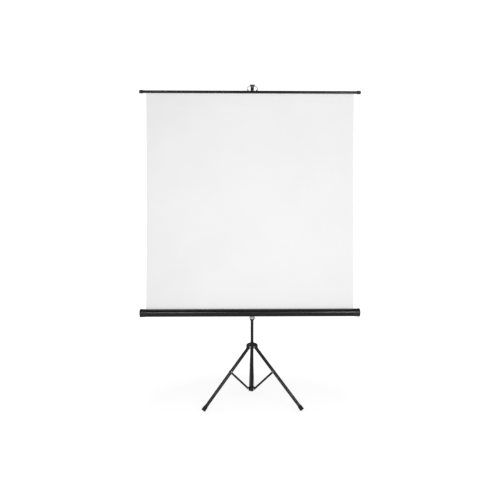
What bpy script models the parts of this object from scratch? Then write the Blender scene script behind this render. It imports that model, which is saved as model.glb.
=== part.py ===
"""Tripod projector screen: a spring-roller case and a hooked top bar on a folding three-leg stand.

Metres, +Z up. The screen faces -Y. The origin is on the floor under the middle of the object's box.
While the pieces are made, the column's axis is the Z axis; the root empty then centres the object.
"""

import math

import bmesh
import bpy
from mathutils import Matrix, Vector

MM = 0.001

# Clearances
GAP = 0.3 * MM                       # between neighbouring pieces
HOLE_GAP = 0.3 * MM                  # round a pin or a bolt
MERGE = 0.02 * MM
EDGE = 0.5 * MM                      # small chamfers
OVERLAP = 0.2 * MM                   # of shapes that are joined into one piece
FLAT = math.radians(0.5)

# Column
COLUMN_DIAMETER = 22.0 * MM
COLUMN_WALL = 1.2 * MM
COLUMN_BELOW_SPIDER = 6.0 * MM
COLUMN_TOP = 1450.0 * MM
COLUMN_FOOT_LENGTH = 15.0 * MM
COLUMN_FOOT_FLANGE = 3.0 * MM

# Extension tube
EXTENSION_WALL = 1.2 * MM
EXTENSION_BOTTOM = 1050.0 * MM
EXTENSION_PLUG_LENGTH = 14.0 * MM
EXTENSION_PLUG_FLANGE = 4.0 * MM

# Top collar of the column and its knob
COLLAR_DIAMETER = 32.0 * MM
COLLAR_SKIRT = 25.0 * MM
COLLAR_NECK = 28.0 * MM
COLLAR_BOSS_DIAMETER = 16.0 * MM
COLLAR_BOSS_REACH = 22.0 * MM
COLLAR_BOSS_ROOT = 3.0 * MM          # how far out of the bore the boss starts
COLLAR_CHAMFER = 2.0 * MM
LOCK_SCREW_DIAMETER = 6.0 * MM
LOCK_SCREW_IN_KNOB = 8.0 * MM
KNOB_DIAMETER = 28.0 * MM
KNOB_LOBES = 5
KNOB_LOBE_DEPTH = 1.6 * MM
KNOB_THICKNESS = 12.0 * MM
KNOB_EDGE = 1.5 * MM
KNOB_LOBE_STEPS = 8

# Legs
LEG_ANGLE = math.radians(42.6)       # from the vertical
LEG_DIAMETER = 24.0 * MM
LEG_WALL = 1.2 * MM
LEG_PLUG_LENGTH = 12.0 * MM
LEG_PLUG_SPIGOT = 14.0 * MM
PIVOT_RADIUS = 26.0 * MM             # of the leg pivots, from the column's axis
PIVOT_HEIGHT = 430.7 * MM

# Rubber feet
FOOT_DIAMETER = 31.0 * MM
FOOT_TOP_DIAMETER = 28.0 * MM
FOOT_LENGTH = 36.0 * MM
FOOT_SOCKET = 27.0 * MM
FOOT_CHAMFER = 2.0 * MM
FOOT_GROOVE = 1.0 * MM
FOOT_GROOVE_SHARES = (0.3, 0.33, 0.38, 0.41)   # down its length: out, in, in, out
SOLE_CUT = 1.8 * MM

# Hub
HUB_LOBE_RADIUS = 42.0 * MM
HUB_LOBE_WIDTH = 32.0 * MM
HUB_LOBE_START = 3.0 * MM
HUB_EDGE_ROUND = 3.0 * MM
HUB_NECK_DIAMETER = 28.0 * MM
HUB_NECK_TOP = 32.3 * MM             # above the leg pivots
HUB_SHOULDER = 28.3 * MM
HUB_CROWN = ((1.0, 0.42), (0.94, 0.65), (0.7, 0.9), (0.38, 1.0))   # shares of lobe and shoulder
HUB_SKIRT = 11.0 * MM                # below the leg pivots
HUB_CORE_WALL = 2.3 * MM
HUB_CHAMFER = 1.5 * MM
HUB_SLOT_ROOF = 0.7 * MM
HUB_PIN_DIAMETER = 6.0 * MM
HUB_PIN_HEAD_DIAMETER = 11.0 * MM
HUB_PIN_HEAD = 1.8 * MM

# Braces
LEG_TO_BRACE = 230.6 * MM            # along the leg, from its pivot
BRACE_LENGTH = 211.8 * MM            # between its two pivots
BRACE_WIDTH = 15.0 * MM
BRACE_THICKNESS = 2.0 * MM
BRACE_SPACER = 2.0 * MM
RIVET_DIAMETER = 5.0 * MM
RIVET_HEAD_DIAMETER = 9.0 * MM
RIVET_HEAD = 1.5 * MM

# Spider
SPIDER_WALL = 1.5 * MM
SPIDER_HEIGHT = 24.0 * MM
EAR_THICKNESS = 3.5 * MM
EAR_WIDTH = 17.0 * MM
EAR_WEB = 7.0 * MM

# Case
SCREEN_OFFSET = -15.0 * MM           # the screen's middle, to the side of the column
CASE_CENTRE_DEPTH = -50.0 * MM       # its axis, in front of the column
CASE_HEIGHT = 691.0 * MM             # its axis, above the floor
CASE_OVERALL = 1645.0 * MM
CASE_DIAMETER = 57.0 * MM
CASE_WALL = 1.3 * MM
CASE_SLOT_WIDTH = 5.0 * MM
CAP_FLANGE_DIAMETER = 61.5 * MM
CAP_FLANGE_LENGTH = 20.0 * MM
CAP_COLLAR_LENGTH = 26.0 * MM
CAP_WALL = 0.8 * MM
CAP_DOME = 8.0 * MM
CAP_DOME_STEPS = 4
CAP_END_WALL = 7.0 * MM
CAP_BOSS_DIAMETER = 24.0 * MM
CAP_BOSS_LENGTH = 9.0 * MM
CAP_HOLE_DEPTH = 5.0 * MM
CAP_CHAMFER = 1.0 * MM
CAP_RECESS = 2.0 * MM                # inside the case's wall

# Roller
ROLLER_DIAMETER = 26.0 * MM
ROLLER_WALL = 1.0 * MM
ROLLER_OVERHANG = 4.0 * MM           # past the fabric, at each end
ROLL_THICKNESS = 0.8 * MM
GUDGEON_LENGTH = 24.0 * MM
AXLE_DIAMETER = 8.0 * MM
MANDREL_LENGTH = 500.0 * MM
ANCHOR_DIAMETER = 16.0 * MM
ANCHOR_LENGTH = 14.0 * MM
SPRING_DIAMETER = 17.8 * MM
SPRING_WIRE = 1.8 * MM
SPRING_TURNS = 18
SPRING_POINTS = 9

# Fabric
FABRIC_INSET = 47.5 * MM             # from the case's end to the fabric's edge
FABRIC_THICKNESS = 0.8 * MM
SLOT_MARGIN = 1.0 * MM               # of the slots in case and bar, past the fabric
FABRIC_PULL = 4.5 * MM               # how far each side draws in at mid height
FABRIC_CURL = 5.0 * MM               # how far the side edges lean back at mid height
FABRIC_COLUMNS = 18
FABRIC_ROWS = 10

# Top bar
BAR_HEIGHT = 2335.0 * MM             # its axis, above the floor
BAR_OVERHANG = 52.5 * MM             # from the fabric's edge to the bar's end
BAR_DIAMETER = 21.0 * MM
BAR_WALL = 1.3 * MM
BAR_SLOT_WIDTH = 2.4 * MM
BAR_CAP_DIAMETER = 27.0 * MM
BAR_CAP_LENGTH = 29.0 * MM
BAR_CAP_SOCKET = 9.0 * MM
BAR_CAP_GROOVE = 1.2 * MM
BAR_CAP_FACE = ((0.62, 0.0), (0.86, 1.5 * MM), (0.95, 4.0 * MM), (0.95, 12.0 * MM))   # radius share, depth
BAR_CAP_RING = 13.0 * MM             # from the cap's end to its groove
BAR_CAP_CHAMFER = 1.5 * MM
HEM_ROD_DIAMETER = 7.0 * MM

# Bail and hook head
BAIL_WIRE = 4.0 * MM
BAIL_WIDTH = 80.0 * MM               # between the middles of its two sides
BAIL_RISE = 29.5 * MM
BAIL_CORNER = 26.0 * MM
BAIL_FOOT_BEND = 2.5 * MM
LUG_SPACING = 64.0 * MM
LUG_WIDTH = 7.0 * MM
LUG_DEPTH = 10.0 * MM
LUG_WALL = 1.8 * MM
HEAD_WIDTH = 23.0 * MM
HEAD_DEPTH = 24.0 * MM
HEAD_SOCKET = 46.0 * MM
HEAD_SKIRT = 74.0 * MM               # from the wire's middle down to the lower end
ARM_THICKNESS = 16.0 * MM
TROUGH_WIDTH = 9.6 * MM
TROUGH_WALL = 6.0 * MM
TROUGH_GAP = 1.0 * MM                # under the wire
LIP_THICKNESS = 6.0 * MM
FLANGE_WIDTH = 36.0 * MM
FLANGE_HEIGHT = 8.0 * MM
HEAD_EDGE = 1.0 * MM
CROWN_SLOPE = ((0.0, 14.0 * MM), (3.0 * MM, 6.0 * MM), (10.0 * MM, 0.0))   # in from the back, down
ARM_CORNER = (5.0 * MM, 6.0 * MM)    # of its front lower corner
ARM_ROOT = (4.0 * MM, 6.0 * MM)      # of the corner under it at the socket

# Carriage
CARRIAGE_WIDTH = 34.0 * MM
CARRIAGE_CORNER = 6.0 * MM
CARRIAGE_HEIGHT = 117.0 * MM
SLEEVE_DIAMETER = 39.0 * MM
SLEEVE_LENGTH = 36.0 * MM
SLEEVE_TIP_DIAMETER = 25.0 * MM
SLEEVE_WAIST = ((1.0, 0.7), (0.93, 0.8))    # shares of its radius and length
SADDLE_WALL = 3.2 * MM
SADDLE_LENGTH = 120.0 * MM
SADDLE_HALF_ANGLE = math.radians(55.0)
SADDLE_BOSS_DIAMETER = 30.0 * MM
PIVOT_BOLT_DIAMETER = 8.0 * MM
PIVOT_BOLT_IN_SADDLE = 3.0 * MM
PIVOT_BOLT_IN_CARRIAGE = 5.5 * MM
HEIGHT_SCREW_DIAMETER = 5.0 * MM
HEIGHT_SCREW_HEAD_DIAMETER = 9.0 * MM
HEIGHT_SCREW_HEAD = 6.0 * MM
HEIGHT_SCREW_DROP = 20.0 * MM        # below the sleeve's upper end
HANDLE_DIAMETER = 12.0 * MM
HANDLE_REACH = 38.0 * MM
HANDLE_SPAN = 84.0 * MM
HANDLE_CORNER = 22.0 * MM
HANDLE_STEPS = 6

# Facets round a turned piece
FINE = 32
MEDIUM = 20
COARSE = 12

# Sizes that follow from those above
COLUMN_RADIUS = COLUMN_DIAMETER / 2
COLUMN_BORE = COLUMN_RADIUS - COLUMN_WALL
EXTENSION_RADIUS = COLUMN_BORE - 1.5 * GAP
EXTENSION_BORE = EXTENSION_RADIUS - EXTENSION_WALL
SLIDE_BORE = COLUMN_RADIUS + GAP
LEG_RADIUS = LEG_DIAMETER / 2
LEG_BORE = LEG_RADIUS - LEG_WALL
BRACE_ANGLE = math.asin(LEG_TO_BRACE * math.sin(LEG_ANGLE) / BRACE_LENGTH)
SPIDER_HEIGHT_ABOVE_FLOOR = (
    PIVOT_HEIGHT - LEG_TO_BRACE * math.cos(LEG_ANGLE) - BRACE_LENGTH * math.cos(BRACE_ANGLE)
)
HUB_TRAVEL = SPIDER_HEIGHT_ABOVE_FLOOR + LEG_TO_BRACE + BRACE_LENGTH - PIVOT_HEIGHT
COLUMN_BOTTOM = SPIDER_HEIGHT_ABOVE_FLOOR - SPIDER_HEIGHT / 2 - COLUMN_BELOW_SPIDER
FOOT_RADIUS = FOOT_DIAMETER / 2
FOOT_TOP_RADIUS = FOOT_TOP_DIAMETER / 2
FOOT_REST = (FOOT_RADIUS - FOOT_CHAMFER) * math.sin(LEG_ANGLE) - SOLE_CUT
LEG_LENGTH = (PIVOT_HEIGHT - FOOT_REST) / math.cos(LEG_ANGLE)
BRACE_INSIDE = LEG_RADIUS + GAP + BRACE_SPACER
BRACE_OUTSIDE = BRACE_INSIDE + BRACE_THICKNESS
EAR_INSIDE = BRACE_OUTSIDE + GAP
EAR_OUTSIDE = EAR_INSIDE + EAR_THICKNESS
CASE_RADIUS = CASE_DIAMETER / 2
FABRIC_WIDTH = CASE_OVERALL - 2 * FABRIC_INSET
BAR_OVERALL = FABRIC_WIDTH + 2 * BAR_OVERHANG
SLOT_END = FABRIC_WIDTH / 2 + SLOT_MARGIN
CASE_END = CASE_OVERALL / 2 - CAP_FLANGE_LENGTH + CAP_DOME - CAP_END_WALL + GAP
ROLLER_RADIUS = ROLLER_DIAMETER / 2
ROLL_RADIUS = ROLLER_RADIUS + GAP + ROLL_THICKNESS
AXLE_RADIUS = AXLE_DIAMETER / 2
FABRIC_DEPTH = CASE_CENTRE_DEPTH + ROLL_RADIUS + GAP + FABRIC_THICKNESS / 2
BAR_RADIUS = BAR_DIAMETER / 2
BAR_BORE = BAR_RADIUS - BAR_WALL
HEM_ROD_RADIUS = HEM_ROD_DIAMETER / 2
HEM_ROD_DROP = BAR_BORE - HEM_ROD_RADIUS - GAP
FABRIC_TOP = BAR_HEIGHT - HEM_ROD_DROP - HEM_ROD_RADIUS - GAP
WIRE_RADIUS = BAIL_WIRE / 2
LUG_PIVOT = BAR_RADIUS + GAP + LUG_WALL + WIRE_RADIUS + HOLE_GAP
WIRE_TOP = BAR_HEIGHT + LUG_PIVOT + BAIL_RISE
TROUGH_FLOOR = WIRE_TOP - WIRE_RADIUS - TROUGH_GAP
HEAD_BOTTOM = WIRE_TOP - HEAD_SKIRT
COLLAR_TOP = COLUMN_TOP + GAP + COLLAR_NECK
LOCK_SCREW_HEIGHT = COLUMN_TOP + GAP + COLLAR_NECK / 2
CARRIAGE_BOTTOM = CASE_HEIGHT - CASE_RADIUS + GAP
SLEEVE_TOP = CARRIAGE_BOTTOM - GAP
HEIGHT_SCREW_HEIGHT = SLEEVE_TOP - HEIGHT_SCREW_DROP

# Places of the three legs, turned about the column from the rear
LEG_PLACES = {"rear": 0.0, "left": math.radians(120.0), "right": math.radians(-120.0)}

# From an outline's X, Y and thickness to depth, height and width
STAND_UP = Matrix(((0, 0, 1, 0), (1, 0, 0, 0), (0, 1, 0, 0), (0, 0, 0, 1)))
ALONG_X = Matrix.Rotation(math.radians(90.0), 4, "Y")
ALONG_Y = Matrix.Rotation(math.radians(-90.0), 4, "X")


def clear_scene():
    """Remove every object of the open scene."""
    for obj in list(bpy.data.objects):
        bpy.data.objects.remove(obj, do_unlink=True)


def make_collection(name):
    """Return a new collection linked to the scene."""
    collection = bpy.data.collections.new(name)
    bpy.context.scene.collection.children.link(collection)
    return collection


def make_material(name, colour, roughness, metallic=0.0):
    """Return a Principled material."""
    material = bpy.data.materials.new(name)
    material.use_nodes = True
    shader = material.node_tree.nodes["Principled BSDF"]
    shader.inputs["Base Color"].default_value = (*colour, 1.0)
    shader.inputs["Roughness"].default_value = roughness
    shader.inputs["Metallic"].default_value = metallic
    return material


clear_scene()
PARTS = make_collection("tripod_projector_screen")
CUTTERS = make_collection("cutters")

FINISHES = {
    "black_tube": make_material("black_painted_tube", (0.02, 0.02, 0.022), 0.35),
    "black_plastic": make_material("black_moulded_plastic", (0.025, 0.025, 0.027), 0.5),
    "rubber": make_material("black_rubber", (0.018, 0.018, 0.018), 0.8),
    "silver": make_material("silver_cast_collar", (0.62, 0.62, 0.63), 0.32, 0.9),
    "steel": make_material("bright_steel", (0.55, 0.55, 0.56), 0.3, 1.0),
    "fabric": make_material("white_screen_fabric", (0.86, 0.87, 0.88), 0.9),
    "aluminium": make_material("plain_aluminium", (0.6, 0.6, 0.61), 0.4, 1.0),
}


def make_frame(name, parent=None, place=(0, 0, 0), turn=(0, 0, 0)):
    """Return an empty that carries the pieces of one moving body."""
    empty = bpy.data.objects.new(name, None)
    empty.empty_display_size = 0.02
    empty.parent = parent
    empty.location = place
    empty.rotation_euler = turn
    PARTS.objects.link(empty)
    return empty


def add_object(name, mesh, parent, finish=None, place=(0, 0, 0)):
    """Return an object for a mesh: a piece with its own material, or a cutter without one."""
    obj = bpy.data.objects.new(name, mesh)
    obj.parent = parent
    obj.location = place
    if finish is None:
        CUTTERS.objects.link(obj)
        obj.hide_render = True
        obj.display_type = "WIRE"
        return obj
    PARTS.objects.link(obj)
    material = FINISHES[finish].copy()
    material.name = name + "_finish"
    mesh.materials.append(material)
    return obj


def turned(name, profile, parent, finish=None, place=(0, 0, 0), facets=MEDIUM, turn=None, ring=False):
    """Return a turned piece; the profile of (radius, height) runs down its outer side.

    A ring's profile closes on itself; any other profile starts and ends on the axis.
    """
    mesh = bpy.data.meshes.new(name)
    shape = bmesh.new()
    points = [shape.verts.new((radius, 0.0, height)) for radius, height in profile]
    for first, second in zip(points, points[1:]):
        shape.edges.new((first, second))
    if ring:
        shape.edges.new((points[-1], points[0]))
    shape.to_mesh(mesh)
    shape.free()
    obj = add_object(name, mesh, parent, finish, place)
    if turn is not None:
        obj.matrix_basis = Matrix.Translation(place) @ turn
    screw = obj.modifiers.new("turn", "SCREW")
    screw.axis = "Z"
    screw.steps = facets
    screw.render_steps = facets
    screw.use_merge_vertices = True
    screw.merge_threshold = MERGE
    screw.use_smooth_shade = True
    return obj


def tube_profile(outer, inner, top, bottom):
    """Return the profile of a plain tube."""
    return [(outer, top), (outer, bottom), (inner, bottom), (inner, top)]


def rod_profile(radius, top, bottom, chamfer=0.0):
    """Return the profile of a rod, with both ends chamfered."""
    if chamfer == 0.0:
        return [(0, top), (radius, top), (radius, bottom), (0, bottom)]
    rim = radius - chamfer
    upper = [(0, top), (rim, top), (radius, top - chamfer)]
    return upper + [(radius, bottom + chamfer), (rim, bottom), (0, bottom)]


def weld(mesh):
    """Merge a mesh's doubled points and the facets of its flat faces."""
    shape = bmesh.new()
    shape.from_mesh(mesh)
    bmesh.ops.remove_doubles(shape, verts=shape.verts, dist=MERGE)
    bmesh.ops.dissolve_limit(shape, angle_limit=FLAT, verts=shape.verts, edges=shape.edges)
    bmesh.ops.recalc_face_normals(shape, faces=shape.faces)
    shape.to_mesh(mesh)
    shape.free()


def mesh_from_curve(name, curve):
    """Return the welded mesh of a curve."""
    source = bpy.data.objects.new(name + "_curve", curve)
    PARTS.objects.link(source)
    bpy.context.view_layer.update()
    evaluated = source.evaluated_get(bpy.context.evaluated_depsgraph_get())
    mesh = bpy.data.meshes.new_from_object(evaluated)
    mesh.name = name
    mesh.materials.clear()
    bpy.data.objects.remove(source, do_unlink=True)
    weld(mesh)
    return mesh


def plate(name, loops, thickness, parent, finish=None, turn=None, place=(0, 0, 0)):
    """Return a flat plate: the first loop is its outline and the others are its holes."""
    curve = bpy.data.curves.new(name, "CURVE")
    curve.dimensions = "2D"
    curve.fill_mode = "BOTH"
    curve.extrude = thickness / 2
    for loop in loops:
        spline = curve.splines.new("POLY")
        spline.points.add(len(loop) - 1)
        for point, (across, along) in zip(spline.points, loop):
            point.co = (across, along, 0.0, 1.0)
        spline.use_cyclic_u = True
    mesh = mesh_from_curve(name, curve)
    if turn is not None:
        mesh.transform(turn)
    return add_object(name, mesh, parent, finish, place)


def wire(name, points, diameter, parent, finish, place=(0, 0, 0), resolution=2):
    """Return a round wire or handle along a line of points."""
    curve = bpy.data.curves.new(name, "CURVE")
    curve.dimensions = "3D"
    curve.bevel_depth = diameter / 2
    curve.bevel_resolution = resolution
    curve.use_fill_caps = True
    spline = curve.splines.new("POLY")
    spline.points.add(len(points) - 1)
    for point, position in zip(spline.points, points):
        point.co = (*position, 1.0)
    mesh = mesh_from_curve(name, curve)
    mesh.shade_smooth()
    mesh.set_sharp_from_angle(angle=math.radians(50.0))
    return add_object(name, mesh, parent, finish, place)


def box(name, low, high, parent, finish=None):
    """Return a box between two corners."""
    mesh = bpy.data.meshes.new(name)
    shape = bmesh.new()
    bmesh.ops.create_cube(shape, size=1.0)
    size = Vector(high) - Vector(low)
    middle = (Vector(high) + Vector(low)) / 2
    bmesh.ops.scale(shape, vec=size, verts=shape.verts)
    bmesh.ops.translate(shape, vec=middle, verts=shape.verts)
    shape.to_mesh(mesh)
    shape.free()
    return add_object(name, mesh, parent, finish)


def combine(piece, other, operation="DIFFERENCE"):
    """Cut, join or trim a piece with another object."""
    modifier = piece.modifiers.new(other.name, "BOOLEAN")
    modifier.operation = operation
    modifier.solver = "EXACT"
    modifier.object = other


def soften(piece, width, segments=2):
    """Round a piece's sharp edges."""
    bevel = piece.modifiers.new("soften", "BEVEL")
    bevel.width = width
    bevel.segments = segments
    bevel.limit_method = "ANGLE"
    bevel.angle_limit = math.radians(40.0)


def arc(centre, radius, start, end, steps):
    """Return points on an arc, both ends included; angles in radians."""
    points = []
    for step in range(steps + 1):
        angle = start + (end - start) * step / steps
        points.append((centre[0] + radius * math.cos(angle), centre[1] + radius * math.sin(angle)))
    return points


def rounded_rectangle(width, height, corner, steps=4):
    """Return the outline of a rectangle with round corners, about its middle."""
    across = width / 2 - corner
    along = height / 2 - corner
    quarter = math.pi / 2
    points = []
    for index, (side, end) in enumerate(((1, 1), (-1, 1), (-1, -1), (1, -1))):
        points += arc((side * across, end * along), corner, index * quarter, (index + 1) * quarter, steps)
    return points


def circle(centre, radius, steps):
    """Return a full circle of points."""
    return arc(centre, radius, 0.0, 2 * math.pi * (steps - 1) / steps, steps - 1)


def rivet_profile(low, high, head, head_radius, shank_radius):
    """Return the profile of a rivet with a domed head at its upper end."""
    return [
        (0, high + head),
        (head_radius * 0.6, high + head * 0.85),
        (head_radius, high + head * 0.3),
        (head_radius, high),
        (shank_radius, high),
        (shank_radius, low),
        (0, low),
    ]


def make_column(root):
    """Make the column tube and its foot plug."""
    turned(
        "column_tube",
        tube_profile(COLUMN_RADIUS, COLUMN_BORE, COLUMN_TOP, COLUMN_BOTTOM),
        root,
        "black_tube",
        ring=True,
    )
    plug = COLUMN_BORE - GAP
    seat = COLUMN_BOTTOM - GAP
    turned(
        "column_foot_plug",
        [
            (0, COLUMN_BOTTOM + COLUMN_FOOT_LENGTH),
            (plug, COLUMN_BOTTOM + COLUMN_FOOT_LENGTH),
            (plug, seat),
            (COLUMN_RADIUS, seat),
            (COLUMN_RADIUS, seat - COLUMN_FOOT_FLANGE / 2),
            (COLUMN_RADIUS * 0.8, seat - COLUMN_FOOT_FLANGE),
            (0, seat - COLUMN_FOOT_FLANGE),
        ],
        root,
        "black_plastic",
    )


def make_top_collar(root):
    """Make the collar on the column's top, with the boss for its lock screw."""
    outer = COLLAR_DIAMETER / 2
    neck_bore = EXTENSION_RADIUS + GAP
    chamfer = COLLAR_CHAMFER
    collar = turned(
        "top_collar",
        [
            (outer - chamfer, COLLAR_TOP),
            (outer, COLLAR_TOP - chamfer),
            (outer, COLUMN_TOP - COLLAR_SKIRT + chamfer),
            (outer - chamfer, COLUMN_TOP - COLLAR_SKIRT),
            (SLIDE_BORE, COLUMN_TOP - COLLAR_SKIRT),
            (SLIDE_BORE, COLUMN_TOP + GAP),
            (neck_bore, COLUMN_TOP + GAP),
            (neck_bore, COLLAR_TOP),
        ],
        root,
        "black_plastic",
        ring=True,
    )
    boss = turned(
        "collar_boss",
        rod_profile(COLLAR_BOSS_DIAMETER / 2, COLLAR_BOSS_REACH, neck_bore + COLLAR_BOSS_ROOT),
        root,
        place=(0, 0, LOCK_SCREW_HEIGHT),
        turn=ALONG_Y,
    )
    hole = turned(
        "collar_screw_hole",
        rod_profile(LOCK_SCREW_DIAMETER / 2 + HOLE_GAP, 2 * COLLAR_BOSS_REACH, 0),
        root,
        place=(0, 0, LOCK_SCREW_HEIGHT),
        facets=COARSE,
        turn=ALONG_Y,
    )
    combine(collar, boss, "UNION")
    combine(collar, hole)


def make_lock_knob(root):
    """Make the lobed knob and the screw that presses on the extension tube."""
    frame = make_frame("lock_knob_joint", root, (0, 0, LOCK_SCREW_HEIGHT))
    inner_face = COLLAR_BOSS_REACH + GAP
    outline = []
    steps = KNOB_LOBE_STEPS * KNOB_LOBES
    for step in range(steps):
        angle = 2 * math.pi * step / steps
        radius = KNOB_DIAMETER / 2 - KNOB_LOBE_DEPTH * (1 - math.cos(KNOB_LOBES * angle)) / 2
        outline.append((radius * math.cos(angle), radius * math.sin(angle)))
    lie_along_y = Matrix.Translation((0, inner_face + KNOB_THICKNESS / 2, 0)) @ ALONG_Y
    knob = plate("lock_knob", [outline], KNOB_THICKNESS, frame, "black_plastic", lie_along_y)
    soften(knob, KNOB_EDGE)
    pocket = turned(
        "knob_pocket",
        rod_profile(LOCK_SCREW_DIAMETER / 2 + HOLE_GAP, inner_face + LOCK_SCREW_IN_KNOB + GAP, 0),
        frame,
        facets=COARSE,
        turn=ALONG_Y,
    )
    combine(knob, pocket)
    turned(
        "lock_screw",
        rod_profile(LOCK_SCREW_DIAMETER / 2, inner_face + LOCK_SCREW_IN_KNOB, EXTENSION_RADIUS + GAP, EDGE),
        frame,
        "steel",
        facets=COARSE,
        turn=ALONG_Y,
    )


def hub_outline():
    """Return the side outline of one hub lobe: distance from the column, height from the pivot."""
    crown = [(HUB_LOBE_RADIUS * reach, HUB_SHOULDER * rise) for reach, rise in HUB_CROWN]
    low = [(HUB_LOBE_START, -HUB_SKIRT), (HUB_LOBE_RADIUS, -HUB_SKIRT)]
    return low + crown + [(HUB_LOBE_START, HUB_SHOULDER)]


def slot_outline():
    """Return the side outline of the space in which a leg's end swings."""
    core = SLIDE_BORE + HUB_CORE_WALL
    roof = LEG_RADIUS + HUB_SLOT_ROOF
    fall = 1 / math.tan(LEG_ANGLE)
    shoulder = PIVOT_RADIUS + roof * (1 / math.cos(LEG_ANGLE) - math.tan(LEG_ANGLE)) + GAP
    reach = 1.5 * HUB_LOBE_RADIUS
    depth = 2 * HUB_SKIRT
    return [
        (core, -depth),
        (core, roof),
        (shoulder, roof),
        (reach, roof - (reach - shoulder) * fall),
        (reach, -depth),
    ]


def make_hub(root):
    """Make the three-lobed hub that slides on the column and its three leg pins."""
    frame = make_frame("hub_joint", root, (0, 0, PIVOT_HEIGHT))
    neck = HUB_NECK_DIAMETER / 2
    chamfer = HUB_CHAMFER
    hub = turned(
        "hub",
        [
            (0, HUB_NECK_TOP),
            (neck - chamfer, HUB_NECK_TOP),
            (neck, HUB_NECK_TOP - chamfer),
            (neck, -HUB_SKIRT - chamfer),
            (0, -HUB_SKIRT - chamfer),
        ],
        frame,
        "black_plastic",
    )
    width = LEG_DIAMETER + 2 * GAP
    slots = []
    for place, azimuth in LEG_PLACES.items():
        turn = Matrix.Rotation(azimuth, 4, "Z")
        slot = plate("hub_slot_" + place, [slot_outline()], width, frame, turn=turn @ STAND_UP)
        lobe = plate("hub_lobe_" + place, [hub_outline()], HUB_LOBE_WIDTH, frame, turn=turn @ STAND_UP)
        soften(lobe, HUB_EDGE_ROUND)
        combine(hub, lobe, "UNION")
        slots.append(slot)
    for place, azimuth in LEG_PLACES.items():
        across = Matrix.Rotation(azimuth, 4, "Z") @ Matrix.Translation((0, PIVOT_RADIUS, 0)) @ ALONG_X
        hole = turned(
            "hub_pin_hole_" + place,
            rod_profile(HUB_PIN_DIAMETER / 2 + HOLE_GAP, HUB_LOBE_WIDTH, -HUB_LOBE_WIDTH),
            frame,
            facets=COARSE,
            turn=across,
        )
        combine(hub, hole)
        cheek = HUB_LOBE_WIDTH / 2 + GAP
        pin = HUB_PIN_DIAMETER / 2
        head = HUB_PIN_HEAD_DIAMETER / 2
        upper = rivet_profile(0, cheek, HUB_PIN_HEAD, head, pin)[:-1]
        lower = [(radius, -height) for radius, height in reversed(upper)]
        turned(
            "hub_pin_" + place,
            upper[:-1] + lower[1:],
            frame,
            "steel",
            facets=COARSE,
            turn=across,
        )
    for slot in slots:
        combine(hub, slot)
    bore = turned("hub_bore", rod_profile(SLIDE_BORE, 2 * HUB_NECK_TOP, -2 * HUB_NECK_TOP), frame)
    combine(hub, bore)
    return frame


def make_leg(root, place, azimuth):
    """Make one leg: its end plug, tube, brace rivet and rubber foot; return its frame."""
    pivot = Matrix.Rotation(azimuth, 4, "Z") @ Vector((0, PIVOT_RADIUS, PIVOT_HEIGHT))
    frame = make_frame("leg_joint_" + place, root, pivot, (LEG_ANGLE, 0, azimuth))
    collar = LEG_PLUG_LENGTH - GAP
    spigot = LEG_BORE - GAP
    plug = turned(
        "leg_plug_" + place,
        [
            (0, 0),
            (LEG_RADIUS, 0),
            (LEG_RADIUS, -collar),
            (spigot, -collar),
            (spigot, -collar - LEG_PLUG_SPIGOT),
            (0, -collar - LEG_PLUG_SPIGOT),
        ],
        frame,
        "black_plastic",
    )
    knuckle = turned(
        "leg_knuckle_" + place,
        rod_profile(LEG_RADIUS, LEG_RADIUS - OVERLAP, OVERLAP - LEG_RADIUS, 2 * EDGE),
        frame,
        turn=ALONG_X,
    )
    hole = turned(
        "leg_pin_hole_" + place,
        rod_profile(HUB_PIN_DIAMETER / 2 + HOLE_GAP, HUB_LOBE_WIDTH, -HUB_LOBE_WIDTH),
        frame,
        facets=COARSE,
        turn=ALONG_X,
    )
    combine(plug, knuckle, "UNION")
    combine(plug, hole)

    tube = turned(
        "leg_tube_" + place,
        tube_profile(LEG_RADIUS, LEG_BORE, -LEG_PLUG_LENGTH, -LEG_LENGTH + FOOT_LENGTH - FOOT_SOCKET + GAP),
        frame,
        "black_tube",
        ring=True,
    )
    cross_hole = turned(
        "leg_rivet_hole_" + place,
        rod_profile(RIVET_DIAMETER / 2 + HOLE_GAP, LEG_DIAMETER, -LEG_DIAMETER),
        frame,
        place=(0, 0, -LEG_TO_BRACE),
        facets=COARSE,
        turn=ALONG_X,
    )
    combine(tube, cross_hole)

    make_leg_rivet(frame, place)
    make_foot(root, frame, place)
    return frame


def make_leg_rivet(frame, place):
    """Make the shouldered rivet on which a brace turns at its leg."""
    head = RIVET_HEAD_DIAMETER / 2
    shank = RIVET_DIAMETER / 2
    outer = EAR_INSIDE
    inner = -LEG_RADIUS - GAP
    turned(
        "leg_rivet_" + place,
        [
            (0, outer + RIVET_HEAD),
            (head * 0.6, outer + RIVET_HEAD * 0.85),
            (head, outer + RIVET_HEAD * 0.3),
            (head, outer),
            (shank, outer),
            (shank, BRACE_INSIDE - GAP),
            (head, BRACE_INSIDE - GAP),
            (head, LEG_RADIUS + GAP),
            (shank, LEG_RADIUS + GAP),
            (shank, inner),
            (head, inner),
            (head, inner - RIVET_HEAD * 0.3),
            (head * 0.6, inner - RIVET_HEAD * 0.85),
            (0, inner - RIVET_HEAD),
        ],
        frame,
        "steel",
        place=(0, 0, -LEG_TO_BRACE),
        facets=COARSE,
        turn=ALONG_X,
    )


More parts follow.
